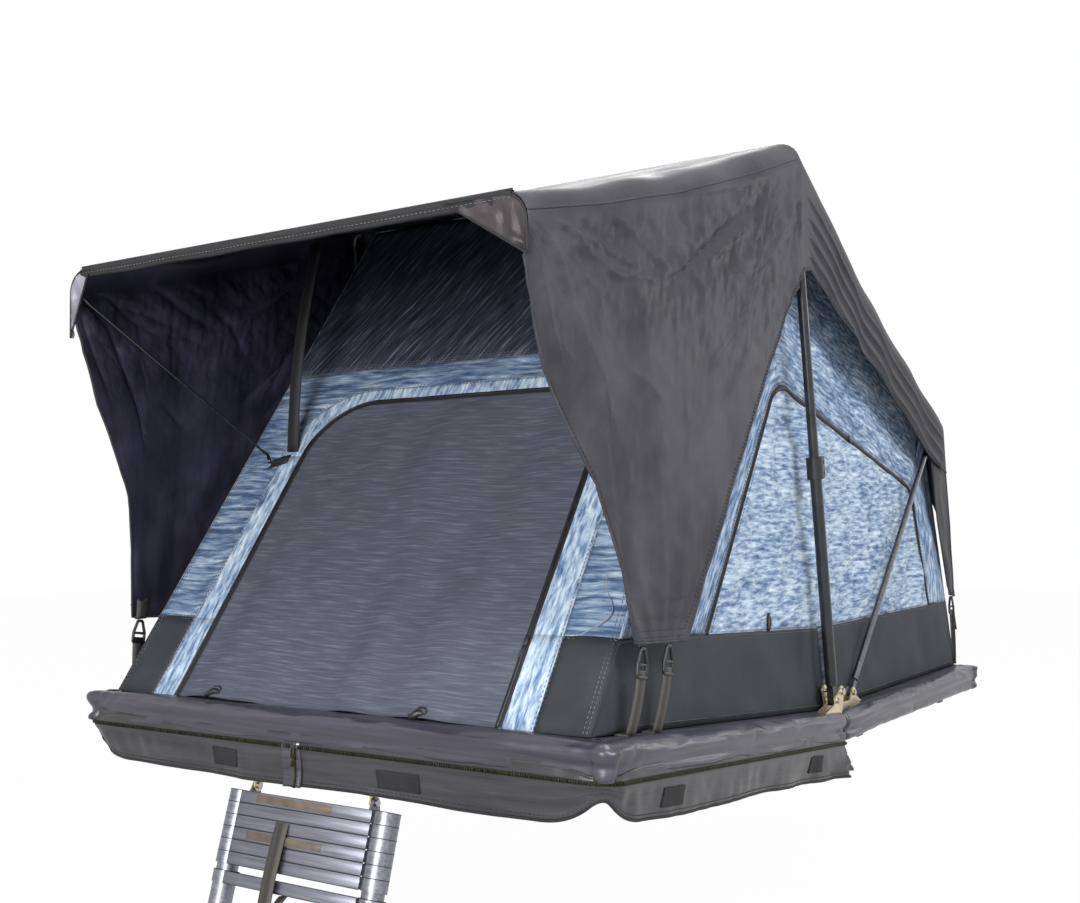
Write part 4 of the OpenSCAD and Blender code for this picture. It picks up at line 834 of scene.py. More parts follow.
# Heights up the front wall's slope, and its arches: half width at the foot and the spring, height, radius
FRONT_SEAM, PANEL_FOOT = 205.0, 970.0
DOOR_ARCH = (440.0, 426.0, 852.0, 165.0)
BORDER_ARCH = (517.0, 498.0, 896.0, 205.0)


def leg_heights(end):
    """Places up a leg of the front wall, below and above the lower band's seam."""
    return np.linspace(0, FRONT_SEAM, 9), np.linspace(FRONT_SEAM, end, 22)


def arch_runs(half_low, half_high, top, radius):
    """An arch on the front wall as runs of (x, s): left leg below and above the seam, and over the top."""
    spring = top - radius
    legs = [laid(-(half_low + (half_high - half_low) * s / spring), s) for s in leg_heights(spring)]
    crown = np.concatenate([arc((radius - half_high, spring), radius, 180, 90, 16),
                            arc((half_high - radius, spring), radius, 90, 0, 16)])
    return [*legs, spaced(crown, 60)]


def panel_runs():
    """The outer edge of the front wall's blue panels, in the same runs as an arch."""
    legs = [laid(-front_half_w(s), s) for s in leg_heights(PANEL_FOOT)]
    w = front_half_w(PANEL_FOOT)
    return [*legs, laid(np.linspace(-w, w, 60), PANEL_FOOT)]


def between(inner, outer, columns):
    """Rows of (x, s) places that fill the strip between two runs."""
    t = np.linspace(0, 1, columns)[None, :, None]
    return inner[:, None] * (1 - t) + outer[:, None] * t


def front_strip(work, strip, seed, slot=0, up_streaks=False, crease=None):
    """Adds a strip of the front wall, creased inside its edges."""
    depth = sizes().wall_crease / MM if crease is None else crease
    x, s = strip[..., 0], strip[..., 1]
    fade = np.sin(np.linspace(0, math.pi, strip.shape[1]))[None]
    out = depth * fade * crumple(x, 0.6 * s, 210, seed)
    work.grid(front_point(x, s, out), laid(s, x) if up_streaks else strip, slot)


ZIP_HALF_W = 8.0


def add_zip(work, place, line, lifts, length):
    """Adds a zip along a line of a wall: its tape, highest in the middle, and the coil on it."""
    edge, mid, crown, coil = lifts
    across = ZIP_HALF_W * crosswise(line)
    tape = between(line - across, line + across, 5)
    work.grid(place(tape[..., 0], tape[..., 1], np.array([edge, mid, crown, mid, edge])),
              laid(np.linspace(0, length, len(line))[:, None], np.linspace(-ZIP_HALF_W, ZIP_HALF_W, 5)))
    work.tube(place(line[:, 0], line[:, 1], coil), 1.9, 6, slot=1)


class TENT_OT_front_wall(bpy.types.Operator):
    """Front wall of dyed canvas with its mesh door, zip, dark top and toggles"""

    bl_idname = "tent.front_wall"
    bl_label = "Front wall"

    def execute(self, context):
        body = "fold_out_half"
        door, border, panel = arch_runs(*DOOR_ARCH), arch_runs(*BORDER_ARCH), panel_runs()
        wall = Work()
        for k in range(3):
            strip = between(door[k], border[k], 7)
            for s in (strip, mirrored(strip)) if k < 2 else (strip,):
                front_strip(wall, s, 21, slot=1, up_streaks=True, crease=1.5)
        for k in (1, 2):
            strip = between(border[k], panel[k], 12)
            for s in (strip, mirrored(strip)) if k < 2 else (strip,):
                front_strip(wall, s, 22)
        # The front wall takes the dimmed copy of the canvas, painted shade under the awning
        cloth = wall.make_folding("front_wall_canvas", body, "space-dyed canvas, front",
                                  "space-dyed canvas, pale", thick=CANVAS)
        seams = Work()
        out = np.array([0, *WALL_OUT])
        for k in range(3):
            for shift in (-5.0, 3.0):
                line = border[k] + unit(border[k] - [0, 400]) * shift
                for run in (line, mirrored(line)) if k < 2 else (line,):
                    seams.stitches(front_point(run[:, 0], run[:, 1], 1.6), out)
        for shift in (6.0, 14.0):
            x = np.linspace(-1, 1, 30) * front_half_w(PANEL_FOOT)
            seams.stitches(front_point(x, PANEL_FOOT + shift, 1.8), out)
        for side in (-1, 1):
            s = np.linspace(4, 940, 60)
            for inset in (7.0, 15.0):
                seams.stitches(front_point(side * (front_half_w(s) - inset), s, 2.0), out)
        thread = seams.make_folding("front_wall_stitching", body, "sewing thread")

        top = Work()
        s = np.linspace(PANEL_FOOT, WALL_LENGTH, 26)[:, None]
        x = np.linspace(-1, 1, 48)[None] * front_half_w(s)
        sag = -6 * np.sin(math.pi * (s - PANEL_FOOT) / (WALL_LENGTH - PANEL_FOOT)) * (1 - (x / 600) ** 2)
        dark = front_point(x, s, sag + 2.5 * crumple(x, s, 240, 31) * np.minimum(1, (s - PANEL_FOOT) / 80))
        top.grid(dark, laid(x, s))
        panel_cloth = top.make_folding("upper_front_panel_cloth", body, "brushed black canvas", thick=CANVAS)
        as_sheet(panel_cloth)

        half_low, half_high, crown, radius = DOOR_ARCH
        spring = crown - radius
        s = np.concatenate([np.linspace(1, spring, 40),
                            spring + radius * np.sin(np.linspace(0.05, 1.54, 16))])
        lean = half_low + (half_high - half_low) * np.minimum(s, spring) / spring
        bend = np.clip(s - spring, 0, radius)
        half = lean - radius + np.sqrt(radius ** 2 - bend ** 2)
        x = np.linspace(-1, 1, 54)[None] * half[:, None]
        s = np.broadcast_to(s[:, None], x.shape)
        fade = np.minimum(1, (half[:, None] - np.abs(x)) / 60) * np.minimum(1, (crown - s) / 60)
        ripple = -1 + 5 * fade * crumple(x, 0.3 * s, 210, 41)
        mesh = Work().grid(front_point(x, s, ripple), laid(x, s))
        net = mesh.make_folding("door_mesh_cloth", body, "polyester mesh", thick=1.0)

        zips = Work()
        line = spaced(np.concatenate([door[0], door[1][1:], door[2][1:-1], mirrored(door[1])[::-1][:-1],
                                      mirrored(door[0])[::-1]]), 220)
        add_zip(zips, front_point, line, (1.2, 2.6, 3.4, 4.0), 2500)
        pull = front_point(*line[-18], 6.0)
        zips.block(pull, np.array([0, *WALL_UP]), out, (22, 9, 5), 1)
        zips.block(pull - 22 * np.array([0.1, *WALL_UP]), np.array([0.1, *WALL_UP]), out, (26, 5, 2.5), 1)
        zip_piece = zips.make_folding("door_zip_tape", body, "zip tape", "nylon zip coil")
        as_sheet(net)

        trim, tabs = Work(), Work()
        for foot, head, wide in (((-327, 11), (-271, 83), 30.0), ((246, 6), (262, 81), 22.0)):
            path = front_point(*spaced([foot, head], 9).T, np.linspace(5, 2.5, 9))
            tabs.ribbon(path, [1, 0, 0], 22.0)
            t = np.linspace(-1, 1, 11)
            knot = front_point(foot[0] + wide * t, foot[1] + 5 * np.sin(4 * t), 6 + 3 * np.cos(3 * t))
            trim.tube(knot, 2.2 + 6 * (1 - t ** 2), 10)
            loop = arc((0, 0), 1, 0, 360, 15)
            ring = front_point(foot[0] + 11 + 13 * loop[:, 0], foot[1] + 9 + 8 * loop[:, 1], 10.0)
            trim.tube(ring, 2.0, 6)
        toggles = trim.make_folding("door_toggles", body, "moulded nylon")
        tab_piece = tabs.make_folding("door_toggle_tabs", body, "polyester webbing", thick=1.2)
        as_sheet(tab_piece)
        curl = Work()
        t = np.linspace(0, 1, 40)
        curl_x = 548 + 62 * np.sin(2.6 * t) * (1 - 0.35 * t) + 16 * np.sin(6 * t)
        curl.ribbon(front_point(curl_x, 206 + 140 * t, 4 + 3 * np.sin(5 * t)), [0, *WALL_OUT], 5.0)
        curl_piece = curl.make_folding("loose_zip_tape", body, "pale gusset cloth", thick=1.0)
        as_sheet(cloth)
        stand_for([cloth], "front_wall")
        stand_for([panel_cloth], "upper_front_panel")
        stand_for([net], "door_mesh")
        stand_for([zip_piece], "door_zip")
        return {"FINISHED"}


# Ends of the windows' feet, and the arcs at their peak and rear corner: middle and radius
WINDOW_FRONT, WINDOW_REAR = -1202.0, 307.0
PEAK_ARC, REAR_ARC = ((-710.0, 770.0), 110.0), ((140.0, 570.0), 90.0)


def window_runs():
    """The window's outline on a side wall as runs of (y, z): up the front, along the top, down the rear."""
    front = np.concatenate([[(WINDOW_FRONT, float(seam_z(WINDOW_FRONT)))], arc(*PEAK_ARC, 150, 106, 12)])
    top = np.concatenate([arc(*PEAK_ARC, 106, 62, 12), arc(*REAR_ARC, 62, 37, 8)])
    rear = np.concatenate([arc(*REAR_ARC, 37, 12, 8), [(WINDOW_REAR, float(seam_z(WINDOW_REAR)))]])
    return [spaced(front, 40), spaced(top, 64), spaced(rear, 30)]


def wall_runs():
    """The outer edge of a side wall above the band, in the same runs as the window."""
    corner = FRONT_FOOT + FRONT_SEAM * WALL_UP
    return [spaced([corner, RIDGE], 40), spaced([RIDGE, ROOF_MID, REAR_TOP], 64),
            spaced([REAR_TOP, REAR_SEAM], 30)]


class TENT_OT_side_walls(bpy.types.Operator):
    """Side walls of dyed canvas with their window flaps and zips"""

    bl_idname = "tent.side_walls"
    bl_label = "Side walls"

    def execute(self, context):
        crease = sizes().wall_crease / MM
        zips, all_flaps = Work(), []
        for side, name in ((1, "right"), (-1, "left")):
            wall = Work()
            run = 0.0
            for inner, outer, seed in zip(window_runs(), wall_runs(), (51, 52, 53)):
                strip = between(inner, outer, 16)
                y, z = strip[..., 0], strip[..., 1]
                fade = np.sin(np.linspace(0, math.pi, 16))[None]
                bulge = crease * fade * crumple(y, z, 190, seed + side)
                along = run + reached(strip)
                run = along[-1, -1]
                wide = np.linalg.norm(strip - strip[:, :1], axis=-1)
                wall.grid(side_point(side, y, z, bulge), laid(along, wide))
            walls = wall.make_halves(f"{name}_wall_canvas", "space-dyed canvas", thick=CANVAS)

            front, top, rear = window_runs()
            outline = np.concatenate([front, top[1:], rear[1:]])
            y = np.linspace(WINDOW_FRONT + 3, WINDOW_REAR - 3, 110)[:, None]
            top = np.interp(y, outline[:, 0], outline[:, 1])
            z = seam_z(y) + (top - seam_z(y)) * np.linspace(0, 1, 36)[None]
            y = np.broadcast_to(y, z.shape)
            fade = np.minimum(1, np.minimum((top - z) / 70, (z - seam_z(y)) / 50))
            folds = crumple(y, 0.12 * z, 150, 61 + side) + 0.6 * crumple(y, z, 110, 63)
            flap = Work().grid(side_point(side, y, z, 1 + 1.2 * crease * fade * folds), laid(y, z))
            flaps = flap.make_halves(f"{name}_window_flap", "space-dyed canvas, pale", thick=CANVAS)

            line = spaced(outline, 260)
            add_zip(zips, partial(side_point, side), line, (1.5, 2.8, 3.6, 4.2), 2600)
            zips.block(side_point(side, *line[150], 6.5), [0, 1, -0.5], [side, 0, 0], (24, 9, 5), 1)
            thread = Work()
            for shift in (14.0, -14.0):
                row = line + shift * crosswise(line)
                row = row[row[:, 1] > seam_z(row[:, 0]) + 4]
                thread.stitches(side_point(side, row[:, 0], row[:, 1], 2.2), [side, 0, 0])
            slope, _, back = wall_runs()
            for edge, inset in ((slope, 12.0), (slope, 20.0), (back, -14.0)):
                thread.stitches(side_point(side, edge[:, 0] + inset, edge[:, 1], 2.2), [side, 0, 0])
            stitching = thread.make_halves(f"{name}_wall_stitching", "sewing thread")
            for part, sewn in zip(walls, stitching):
                as_sheet(part)
            all_flaps.append(flaps)
            stand_for(walls, f"{name}_wall")
            stand_for(flaps, f"{name}_window")
        tapes = zips.make_halves("window_zip_tape", "zip tape", "nylon zip coil")
        for tape, right, left in zip(tapes, *all_flaps):
            as_sheet(right)
            as_sheet(left)
        stand_for(tapes, "window_zips")
        return {"FINISHED"}


class TENT_OT_lower_band(bpy.types.Operator):
    """Dark band round the foot of the walls, with its seams and toggle tabs"""

    bl_idname = "tent.lower_band"
    bl_label = "Lower band"

    def execute(self, context):
        band, thread = Work(), Work()
        border, panel = arch_runs(*BORDER_ARCH)[0], panel_runs()[0]
        strip = between(border, panel, 8)
        out = np.array([0, *WALL_OUT])
        for s in (strip, mirrored(strip)):
            front_strip(band, s, 71)
            for lift in (-5.0, 4.0):
                thread.stitches(front_point(s[-1, :, 0], s[-1, :, 1] + lift, 2.4), out)
        y = np.linspace(FRONT_FOOT[0], REAR_FOOT[0], 150)
        y = np.sort(np.concatenate([y, [FOLD[0]]]))
        low, front_edge, rear_edge = (np.interp(y, *np.transpose(line)) for line in (
            [FRONT_FOOT, FOLD_FOOT, REAR_FOOT], [FRONT_FOOT, RIDGE], [REAR_TOP, REAR_FOOT]))
        high = np.minimum(np.minimum(seam_z(y), front_edge), np.where(y > REAR_TOP[0], rear_edge, 1e4))
        z = low[:, None] + (high - low)[:, None] * np.linspace(0, 1, 12)[None]
        yy = np.broadcast_to(y[:, None], z.shape)
        for side in (1, -1):
            fade = np.sin(math.pi * np.linspace(0.05, 1, 12))[None]
            bulge = 1 + 3.0 * fade * crumple(yy, 0.4 * z, 170, 73 + side)
            band.grid(side_point(side, yy, z, bulge), laid(yy, z))
            inside = (high - low) > 150
            for lift in (-6.0, 4.0):
                thread.stitches(side_point(side, y[inside], high[inside] + lift, 2.6), [side, 0, 0])
            thread.stitches(side_point(side, y[inside], low[inside] + 12, 2.6), [side, 0, 0])
            # Gathered folds at the hinge, drawn in the black canvas as painted shade in the folds
            gather = np.array([(-577.0, 296.0), (-568, 240), (-560, 170), (-551, 101)])
            for shift in (-7.0, 0.0, 7.0):
                band.tube(side_point(side, gather[:, 0] + shift, gather[:, 1], 2.0), 4.2, 8, slot=1)
        t = np.linspace(0, 1, 10)[:, None]
        line = REAR_FOOT + t * (REAR_SEAM - REAR_FOOT)
        y, z = line[:, :1], line[:, 1:]
        x = np.linspace(-1, 1, 60) * wall_x(z)
        band.grid(laid(x, y + 2 * crumple(x, 0.4 * z, 180, 77), z), laid(x, z))
        bands = band.make_halves("lower_band_cloth", "charcoal canvas", "brushed black canvas", thick=CANVAS)
        rows = thread.make_halves("lower_band_stitching", "sewing thread")
        for part, sewn in zip(bands, rows):
            as_sheet(part)
        stand_for(bands, "lower_band")
        tabs = Work()
        for side in (1, -1):
            bow = 5 + 2 * np.sin(np.linspace(0, 3.1, 7))
            path = side_point(side, np.linspace(-884, -890, 7), np.linspace(352, 312, 7), bow)
            tabs.tube(path, np.array([3, 4.5, 5, 5, 5, 4.5, 3.0]), 10)
        tabs.make_folding("window_toggles", "fold_out_half", "moulded nylon")
        return {"FINISHED"}


class TENT_OT_roof_and_rear_wall(bpy.types.Operator):
    """Canvas roof between the hoops and the rear wall below it"""

    bl_idname = "tent.roof_and_rear_wall"
    bl_label = "Roof and rear wall"

    def execute(self, context):
        line = spaced([RIDGE, ROOF_MID, REAR_TOP], 60)
        y, z = np.split(line, 2, axis=1)
        x = np.linspace(-1, 1, 48) * wall_x(z)
        fade = np.sin(np.linspace(0, math.pi, 60))[:, None] * (1 - (x / 640) ** 2)
        roof = Work().grid(laid(x, y, z - 8 * fade + 3 * fade * crumple(x, y, 230, 81)),
                           laid(x, np.linspace(0, 1290, 60)[:, None]))
        roofs = roof.make_halves("canvas_roof_cloth", "space-dyed canvas", thick=CANVAS)
        y, z = np.split(spaced([REAR_TOP, REAR_SEAM], 30), 2, axis=1)
        x = np.linspace(-1, 1, 60) * wall_x(z)
        fade = np.sin(np.linspace(0, math.pi, 30))[:, None] * (1 - (x / 650) ** 2)
        rear = Work().grid(laid(x, y + 3 * fade * crumple(x, z, 200, 83), z), laid(x, z))
        wall = rear.make_folding("rear_wall_canvas", "mounted_half", "space-dyed canvas", thick=CANVAS)
        for part in (*roofs, wall):
            as_sheet(part)
        stand_for(roofs, "canvas_roof")
        stand_for([wall], "rear_wall")
        return {"FINISHED"}


# Counts of places down a side of the fly, round its shoulder and over half its top
FLY_SIDE, FLY_ARC, FLY_TOP = 150, 7, 24
# Where the side wings are tied down, the cloth's thickness, and how far its creases are deepened
FLY_TAB, FLY_CLOTH, CREASE_GAIN = (-1511.0, 345.0), 2.0, 3.8
# Creases of the fly's side panels: depth, width and places (y, z) along each
WING_CREASES = (
    (-3.4, 9, (-1409, 1214), (-1198, 1255), (-981, 1308)),
    (-3.8, 9, (-1033, 1261), (-1184, 1161), (-1328, 1075), (-1388, 1040)),
    (2.8, 8, (-998, 1248), (-1126, 1169), (-1218, 1110)),
    (3.2, 8, (-1636, 1170), (-1546, 1140), (-1448, 1095), (-1341, 1070)),
    (2.8, 8, (-1721, 1100), (-1587, 1076), (-1453, 1052)),
    (2.6, 8, (-1683, 1072), (-1569, 1037), (-1430, 1045)),
    (2.6, 8, (-1808, 1114), (-1720, 1106), (-1663, 1069)),
    (2.2, 8, (-1739, 1116), (-1642, 1159)),
    (2.4, 8, (-1485, 1172), (-1393, 1150)),
    (2.4, 9, (-922, 1337), (-1025, 1169), (-1095, 1094)),
    (2.4, 9, (-880, 1353), (-941, 1219), (-1056, 1062)),
    (2.6, 9, (-838, 1258), (-986, 1122), (-1166, 893)),
    (2.2, 9, (-1001, 1128), (-1094, 999), (-1249, 887)),
    (2.0, 9, (-1059, 945), (-1190, 828)),
    (3.0, 9, (-1826, 1119), (-1737, 1037), (-1678, 928), (-1629, 846), (-1594, 731)),
    (2.2, 9, (-1837, 1100), (-1776, 954), (-1727, 852)),
    (1.8, 9, (-1566, 876), (-1448, 807)),
    (2.2, 8, (-1395, 1130), (-1300, 1088), (-1231, 1013)),
    (-2.2, 9, (-1335, 1214), (-1289, 1173), (-1287, 1090)),
)


def fly_sections(stations):
    """Places of the fly: a row across it for each y, from the right hem over the top to the left hem."""
    rows, drops = [], []
    sag = sizes().fly_sag / MM
    for y in stations:
        z, w, r = (np.interp(y, FLY_Y, values) for values in (FLY_HEIGHT, FLY_HALF_W, FLY_SHOULDER))
        a, b = (FLY_Y[0], FLY_Y[1]) if y < FLY_Y[1] else (FLY_Y[1], FLY_Y[2])
        s = (y - a) / (b - a)
        z -= 4 * s * (1 - s) * sag
        hem = np.interp(y, FLY_HEM[:, 0], FLY_HEM[:, 1])
        drop = max(z - r - hem, 1.0)
        foot = w + (TAB_X - w) * min(drop / 700, 1)
        t = np.linspace(0, 1, FLY_SIDE, endpoint=False)
        side = laid(foot + (w - foot) * t, hem + drop * t)
        # The wing's front edge is drawn in between its tab and the awning bar
        near = np.clip((-1480 - y) / 260, 0, 1)
        side[:, 0] -= 45 * near * np.sin(math.pi * np.clip((side[:, 1] - 380) / 720, 0, 1))
        top = laid(np.linspace(w - r, 0, FLY_TOP)[1:], z)
        half = np.concatenate([side, arc((w - r, z - r), r, 0, 90, FLY_ARC), top])
        full = mirrored(half, True)
        rows.append(laid(full[:, 0], y, full[:, 1]))
        drops.append(np.maximum(z - r - full[:, 1], 0))
    return np.array(rows), np.array(drops)


def crease_relief(y, z, creases):
    """Depth of pinched creases over places y and z; each fades out at its ends."""
    relief = np.zeros_like(y)
    for depth, width, *line in creases:
        path = spaced(line, 40)
        off = np.sqrt((y[..., None] - path[:, 0]) ** 2 + (z[..., None] - path[:, 1]) ** 2)
        fade = np.sin(math.pi * (np.argmin(off, axis=-1) + 0.5) / len(path)) ** 0.6
        relief += CREASE_GAIN * depth * fade * np.exp(-off.min(axis=-1) / width)
    return relief


def fly_relief(g, drop):
    """Depth of the fly's folds: fans from its corners and tabs, pleats on its rear sides, a crumpled top."""
    deep = sizes().fly_fold / MM
    x, y, z = np.moveaxis(g, -1, 0)
    ahead = y < RIDGE[0]
    on_side = np.clip(drop / 60, 0, 1)
    to_ridge, to_awning = RIDGE[0] - y, y - FLY_FRONT[0]
    fan = 0.0
    for run, rays, shift in ((to_ridge, 15.0, 0.4), (to_awning, 13.0, 1.9)):
        far = np.hypot(run, drop)
        ray = np.sin(rays * np.arctan2(drop + 30, run + 60) + shift)
        fan = fan + ray * np.clip(far / 160, 0, 1) * np.exp(-far / 420)
    tab = np.hypot(y - FLY_TAB[0], z - FLY_TAB[1])
    ray = np.sin(17 * np.arctan2(y - FLY_TAB[0], z - FLY_TAB[1] + 95))
    pull = ray * np.clip(tab / 120, 0, 1) * np.exp(-tab / 380)
    wing = on_side * (0.7 * deep * fan + 0.6 * deep * pull + 0.2 * deep * crumple(y, 0.2 * z, 90, 91))
    high = np.clip((z - 850) / 250, 0, 1)
    wing = wing + np.clip(drop / 30, 0, 1) * (crease_relief(y, z, WING_CREASES)
                                              + (0.4 + 1.6 * high) * crumple(y, 0.8 * z, 70, 93, True))
    around = reached(g, axis=1)
    wander = 9 * crumple(y, around * 0.2, 620, 92)
    pleat = 1 - 2 * np.abs(np.sin(math.pi * (drop + wander) / 44)) ** 0.7
    behind = np.clip((y - RIDGE[0]) / 120, 0, 1) * np.clip((FLY_REAR[0] - y) / 40, 0, 1)
    strip = behind * deep * (np.clip(drop / 25, 0, 1) * 0.8 * pleat
                             + (0.2 + 0.6 * on_side) * crumple(y, 0.3 * around, 200, 94))
    # Both bays of the top are slack in the middle and tight at their bars
    bay = np.where(ahead, to_ridge * to_awning / 530 ** 2, (y - RIDGE[0]) * (FLY_REAR[0] - y) / 593 ** 2)
    slack = 0.35 * crumple(x, y, 260, 95) + 0.4 * crumple(x, 0.3 * y, 110, 96)
    top = (1 - on_side) * np.clip(bay, 0, 1) * deep * slack
    return np.where(ahead, wing, strip) + top


class TENT_OT_rain_fly(bpy.types.Operator):
    """Rain fly from the awning bar over the ridge to the rear bar, with its side panels, hems and gussets"""

    bl_idname = "tent.rain_fly"
    bl_label = "Rain fly"

    def execute(self, context):
        knots = np.unique(np.concatenate([FLY_HEM[:, 0], FLY_Y, [FOLD[0]]]))
        counts = [max(int((b - a) / (7 if b <= RIDGE[0] + 1 else 12)), 1) for a, b in zip(knots, knots[1:])]
        stations = np.concatenate([np.linspace(a, b, count, endpoint=False)
                                   for a, b, count in zip(knots, knots[1:], counts)] + [knots[-1:]])
        g, drop = fly_sections(stations)
        out = grid_normals(g)
        out *= np.sign(np.sum(out * (g - [0, 0, 500]) * [1, 0, 1], axis=-1, keepdims=True))
        g = g + out * (1.2 + fly_relief(g, drop))[..., None]
        middle = g.shape[1] // 2
        around = reached(g, axis=1)
        fly = Work().grid(g, laid(reached(g[:, middle])[:, None], around - around[:, [middle]]))
        flies = fly.make_halves("rain_fly_cloth", "coated polyester", "black coated lining",
                                thick=FLY_CLOTH, lining=1)

        hems, thread = Work(), Work()
        for edge, inner in ((0, 5), (-1, -6)):
            hems.tube(g[:, edge], 2.6, 8)
            for share in (0.35, 0.8):
                row = g[:, edge] * (1 - share) + g[:, inner] * share + 1.8 * out[:, edge]
                thread.stitches(row, out[:, edge])
        for k in (FLY_SIDE + 1, -FLY_SIDE - 2):
            ahead = stations < RIDGE[0] - 10
            hems.tube(g[ahead, k] + 0.8 * out[ahead, k], 2.2, 8)
            for shift in (-9.0, -15.0):
                row = g[ahead, k] + 1.8 * out[ahead, k] + [0, 0, shift]
                thread.stitches(row, out[ahead, k])
        for side in (1, -1):
            for z_front, z_rear in ((430.0, 420.0), (396.0, 384.0)):
                row = laid((TAB_X + 3.4) * side, np.linspace(-1609, -1397, 12),
                           np.linspace(z_front, z_rear, 12))
                thread.stitches(row, [side, 0, 0])
        hem_pieces = hems.make_halves("rain_fly_hems", "coated polyester")
        threads = thread.make_halves("rain_fly_stitching", "dark thread")
        for part, hem, sewn in zip(flies, hem_pieces, threads):
            as_sheet(part)
        stand_for(flies, "rain_fly")

        sleeve = Work()
        x = np.linspace(-588, 588, 120)
        wave = 1.2 * crumple(x, 0 * x, 160, 101)
        profile = np.array([(-1829, 1157.5), (-1838, 1157.5), (-1845, 1152), (-1845.5, 1143), (-1844.5, 1138),
                            (-1842, 1134), (-1836, 1134), (-1832, 1140)])
        y, z = np.split(profile, 2, axis=1)
        sway = np.clip((1150 - z) / 30, 0, 1) * wave
        rows = laid(x, y + 0.5 * sway, z + sway)
        sleeve.grid(rows, laid(x, 9.0 * np.arange(len(profile))[:, None]))
        band = sleeve.make_folding("awning_sleeve", "fold_out_half", "black binding tape")
        binding = Work().stitches(rows[3] + [0, -1.8, 0], [0, -1, 0], slot=1)
        binding.tube(rows[1] + [0, -1, 1.5], 2.4, 8, slot=2)

        gussets = Work()
        for side in (1, -1):
            # The left gusset takes the pale cloth, painted backlight shining through it; the right one keeps
            # the brown cloth
            slot, inner, low = (0, 445.0, 1040.0) if side > 0 else (1, 556.0, 1000.0)
            rim = np.concatenate([[(inner, 1152.0)], arc((570, 1101), 50, 90, 0, 14), [(621.0, low)]])
            rim = spaced(rim, 24)
            flat = between(rim, spaced([rim[0], rim[-1]], 24), 12)
            x, z = flat[..., 0], flat[..., 1]
            bow = np.sin(np.linspace(0, math.pi, 24))[:, None]
            puff = np.sin(np.linspace(0, math.pi, 12)) * (
                9 * bow + 3.5 * crumple(x, 0.6 * z, 46, 111 + side, True))
            points = laid(side * x, -1845.5 - puff, z)
            gussets.grid(points, flat, slot)
            for edge in (-1, 0):
                binding.tube(points[:, edge], 2.2, 8)
        patch = gussets.make_folding("awning_gussets", "fold_out_half", "brown gusset cloth",
                                     "pale gusset cloth", thick=1.5)
        edging = binding.make_folding("awning_binding", "fold_out_half", "black binding tape",
                                      "sewing thread", "coated polyester")
        as_sheet(band)
        as_sheet(patch)
        return {"FINISHED"}


class TENT_OT_rear_flap(bpy.types.Operator):
    """Rear flap of the fly, hanging from the rear bar in soft folds"""

    bl_idname = "tent.rear_flap"
    bl_label = "Rear flap"

    def execute(self, context):
        top, low = np.array([405.3, 866.8]), np.array([540.0, 307.0])
        half_w, corner, length = 668.0, 57.0, 576.0
        x = half_w * np.sin(np.linspace(-math.pi / 2, math.pi / 2, 120))
        # The hem is cut in an arch that leaves a tail at each corner
        s = np.linspace(0, 1, 46)[:, None] * (0.35 + 0.65 * np.exp((np.abs(x) - half_w) / 30))
        x = np.broadcast_to(x, s.shape)
        edge = np.maximum(np.abs(x) - half_w + corner, 0)
        round_off = corner - np.sqrt(np.maximum(corner ** 2 - edge ** 2, 0))
        y = top[0] + s * (low[0] - top[0]) + 9 * s * (1 - np.cos(2 * math.pi * x / 330))
        z = top[1] + s * (low[1] - top[1]) - round_off * (1 - s)
        y = y + 1.5 + 4 * s * crumple(x, 0.2 * z, 120, 121)
        y = y + 2.5 * np.sin(math.pi * s) * crumple(x, z, 170, 122)
        g = laid(x * (1 - 0.03 * s), y, z)
        flap = Work().grid(g, laid(x, (1 - s) * length))
        hems, wings = Work().tube(g[-1], 2.6, 8), Work()
        for end, side in ((0, -1), (-1, 1)):
            x, y, z = np.split(g[:, end], 3, axis=1)
            ahead = np.minimum(np.interp(z, [307, 340, 545, 725, 760], [536, 475, 365, 300, 405]), y)
            t = np.linspace(0, 1, 9)
            reach = (y - ahead) * t
            inset = side * (2 + 3 * np.sin(math.pi * t) * crumple(reach, 0.3 * z, 60, 124))
            wing = laid(x - inset, y - reach, z)
            wings.grid(wing, laid(reach, s[:, [end]] * length))
            hems.tube(wing[:, -1], 2.4, 8)
        flap = flap.make_folding("fly_rear_flap_cloth", "mounted_half", "coated polyester",
                                 "black coated lining", thick=FLY_CLOTH, lining=1)
        hems.stitches(g[-2] + [0, 2.2, 0], [0, 1, 0], slot=1)
        hem = hems.make_folding("fly_rear_flap_hem", "mounted_half", "coated polyester", "sewing thread")
        sides = wings.make_folding("fly_rear_flap_sides", "mounted_half", "coated polyester", thick=FLY_CLOTH)
        as_sheet(flap)
        as_sheet(sides)
        stand_for([flap], "fly_rear_flap")
        return {"FINISHED"}


def slack(start, end, count, bow):
    """Places from start to end along a strap that is bowed in its middle."""
    t = np.linspace(0, 1, count)[:, None]
    return start + t * (end - start) + np.array(bow) * np.sin(math.pi * t)


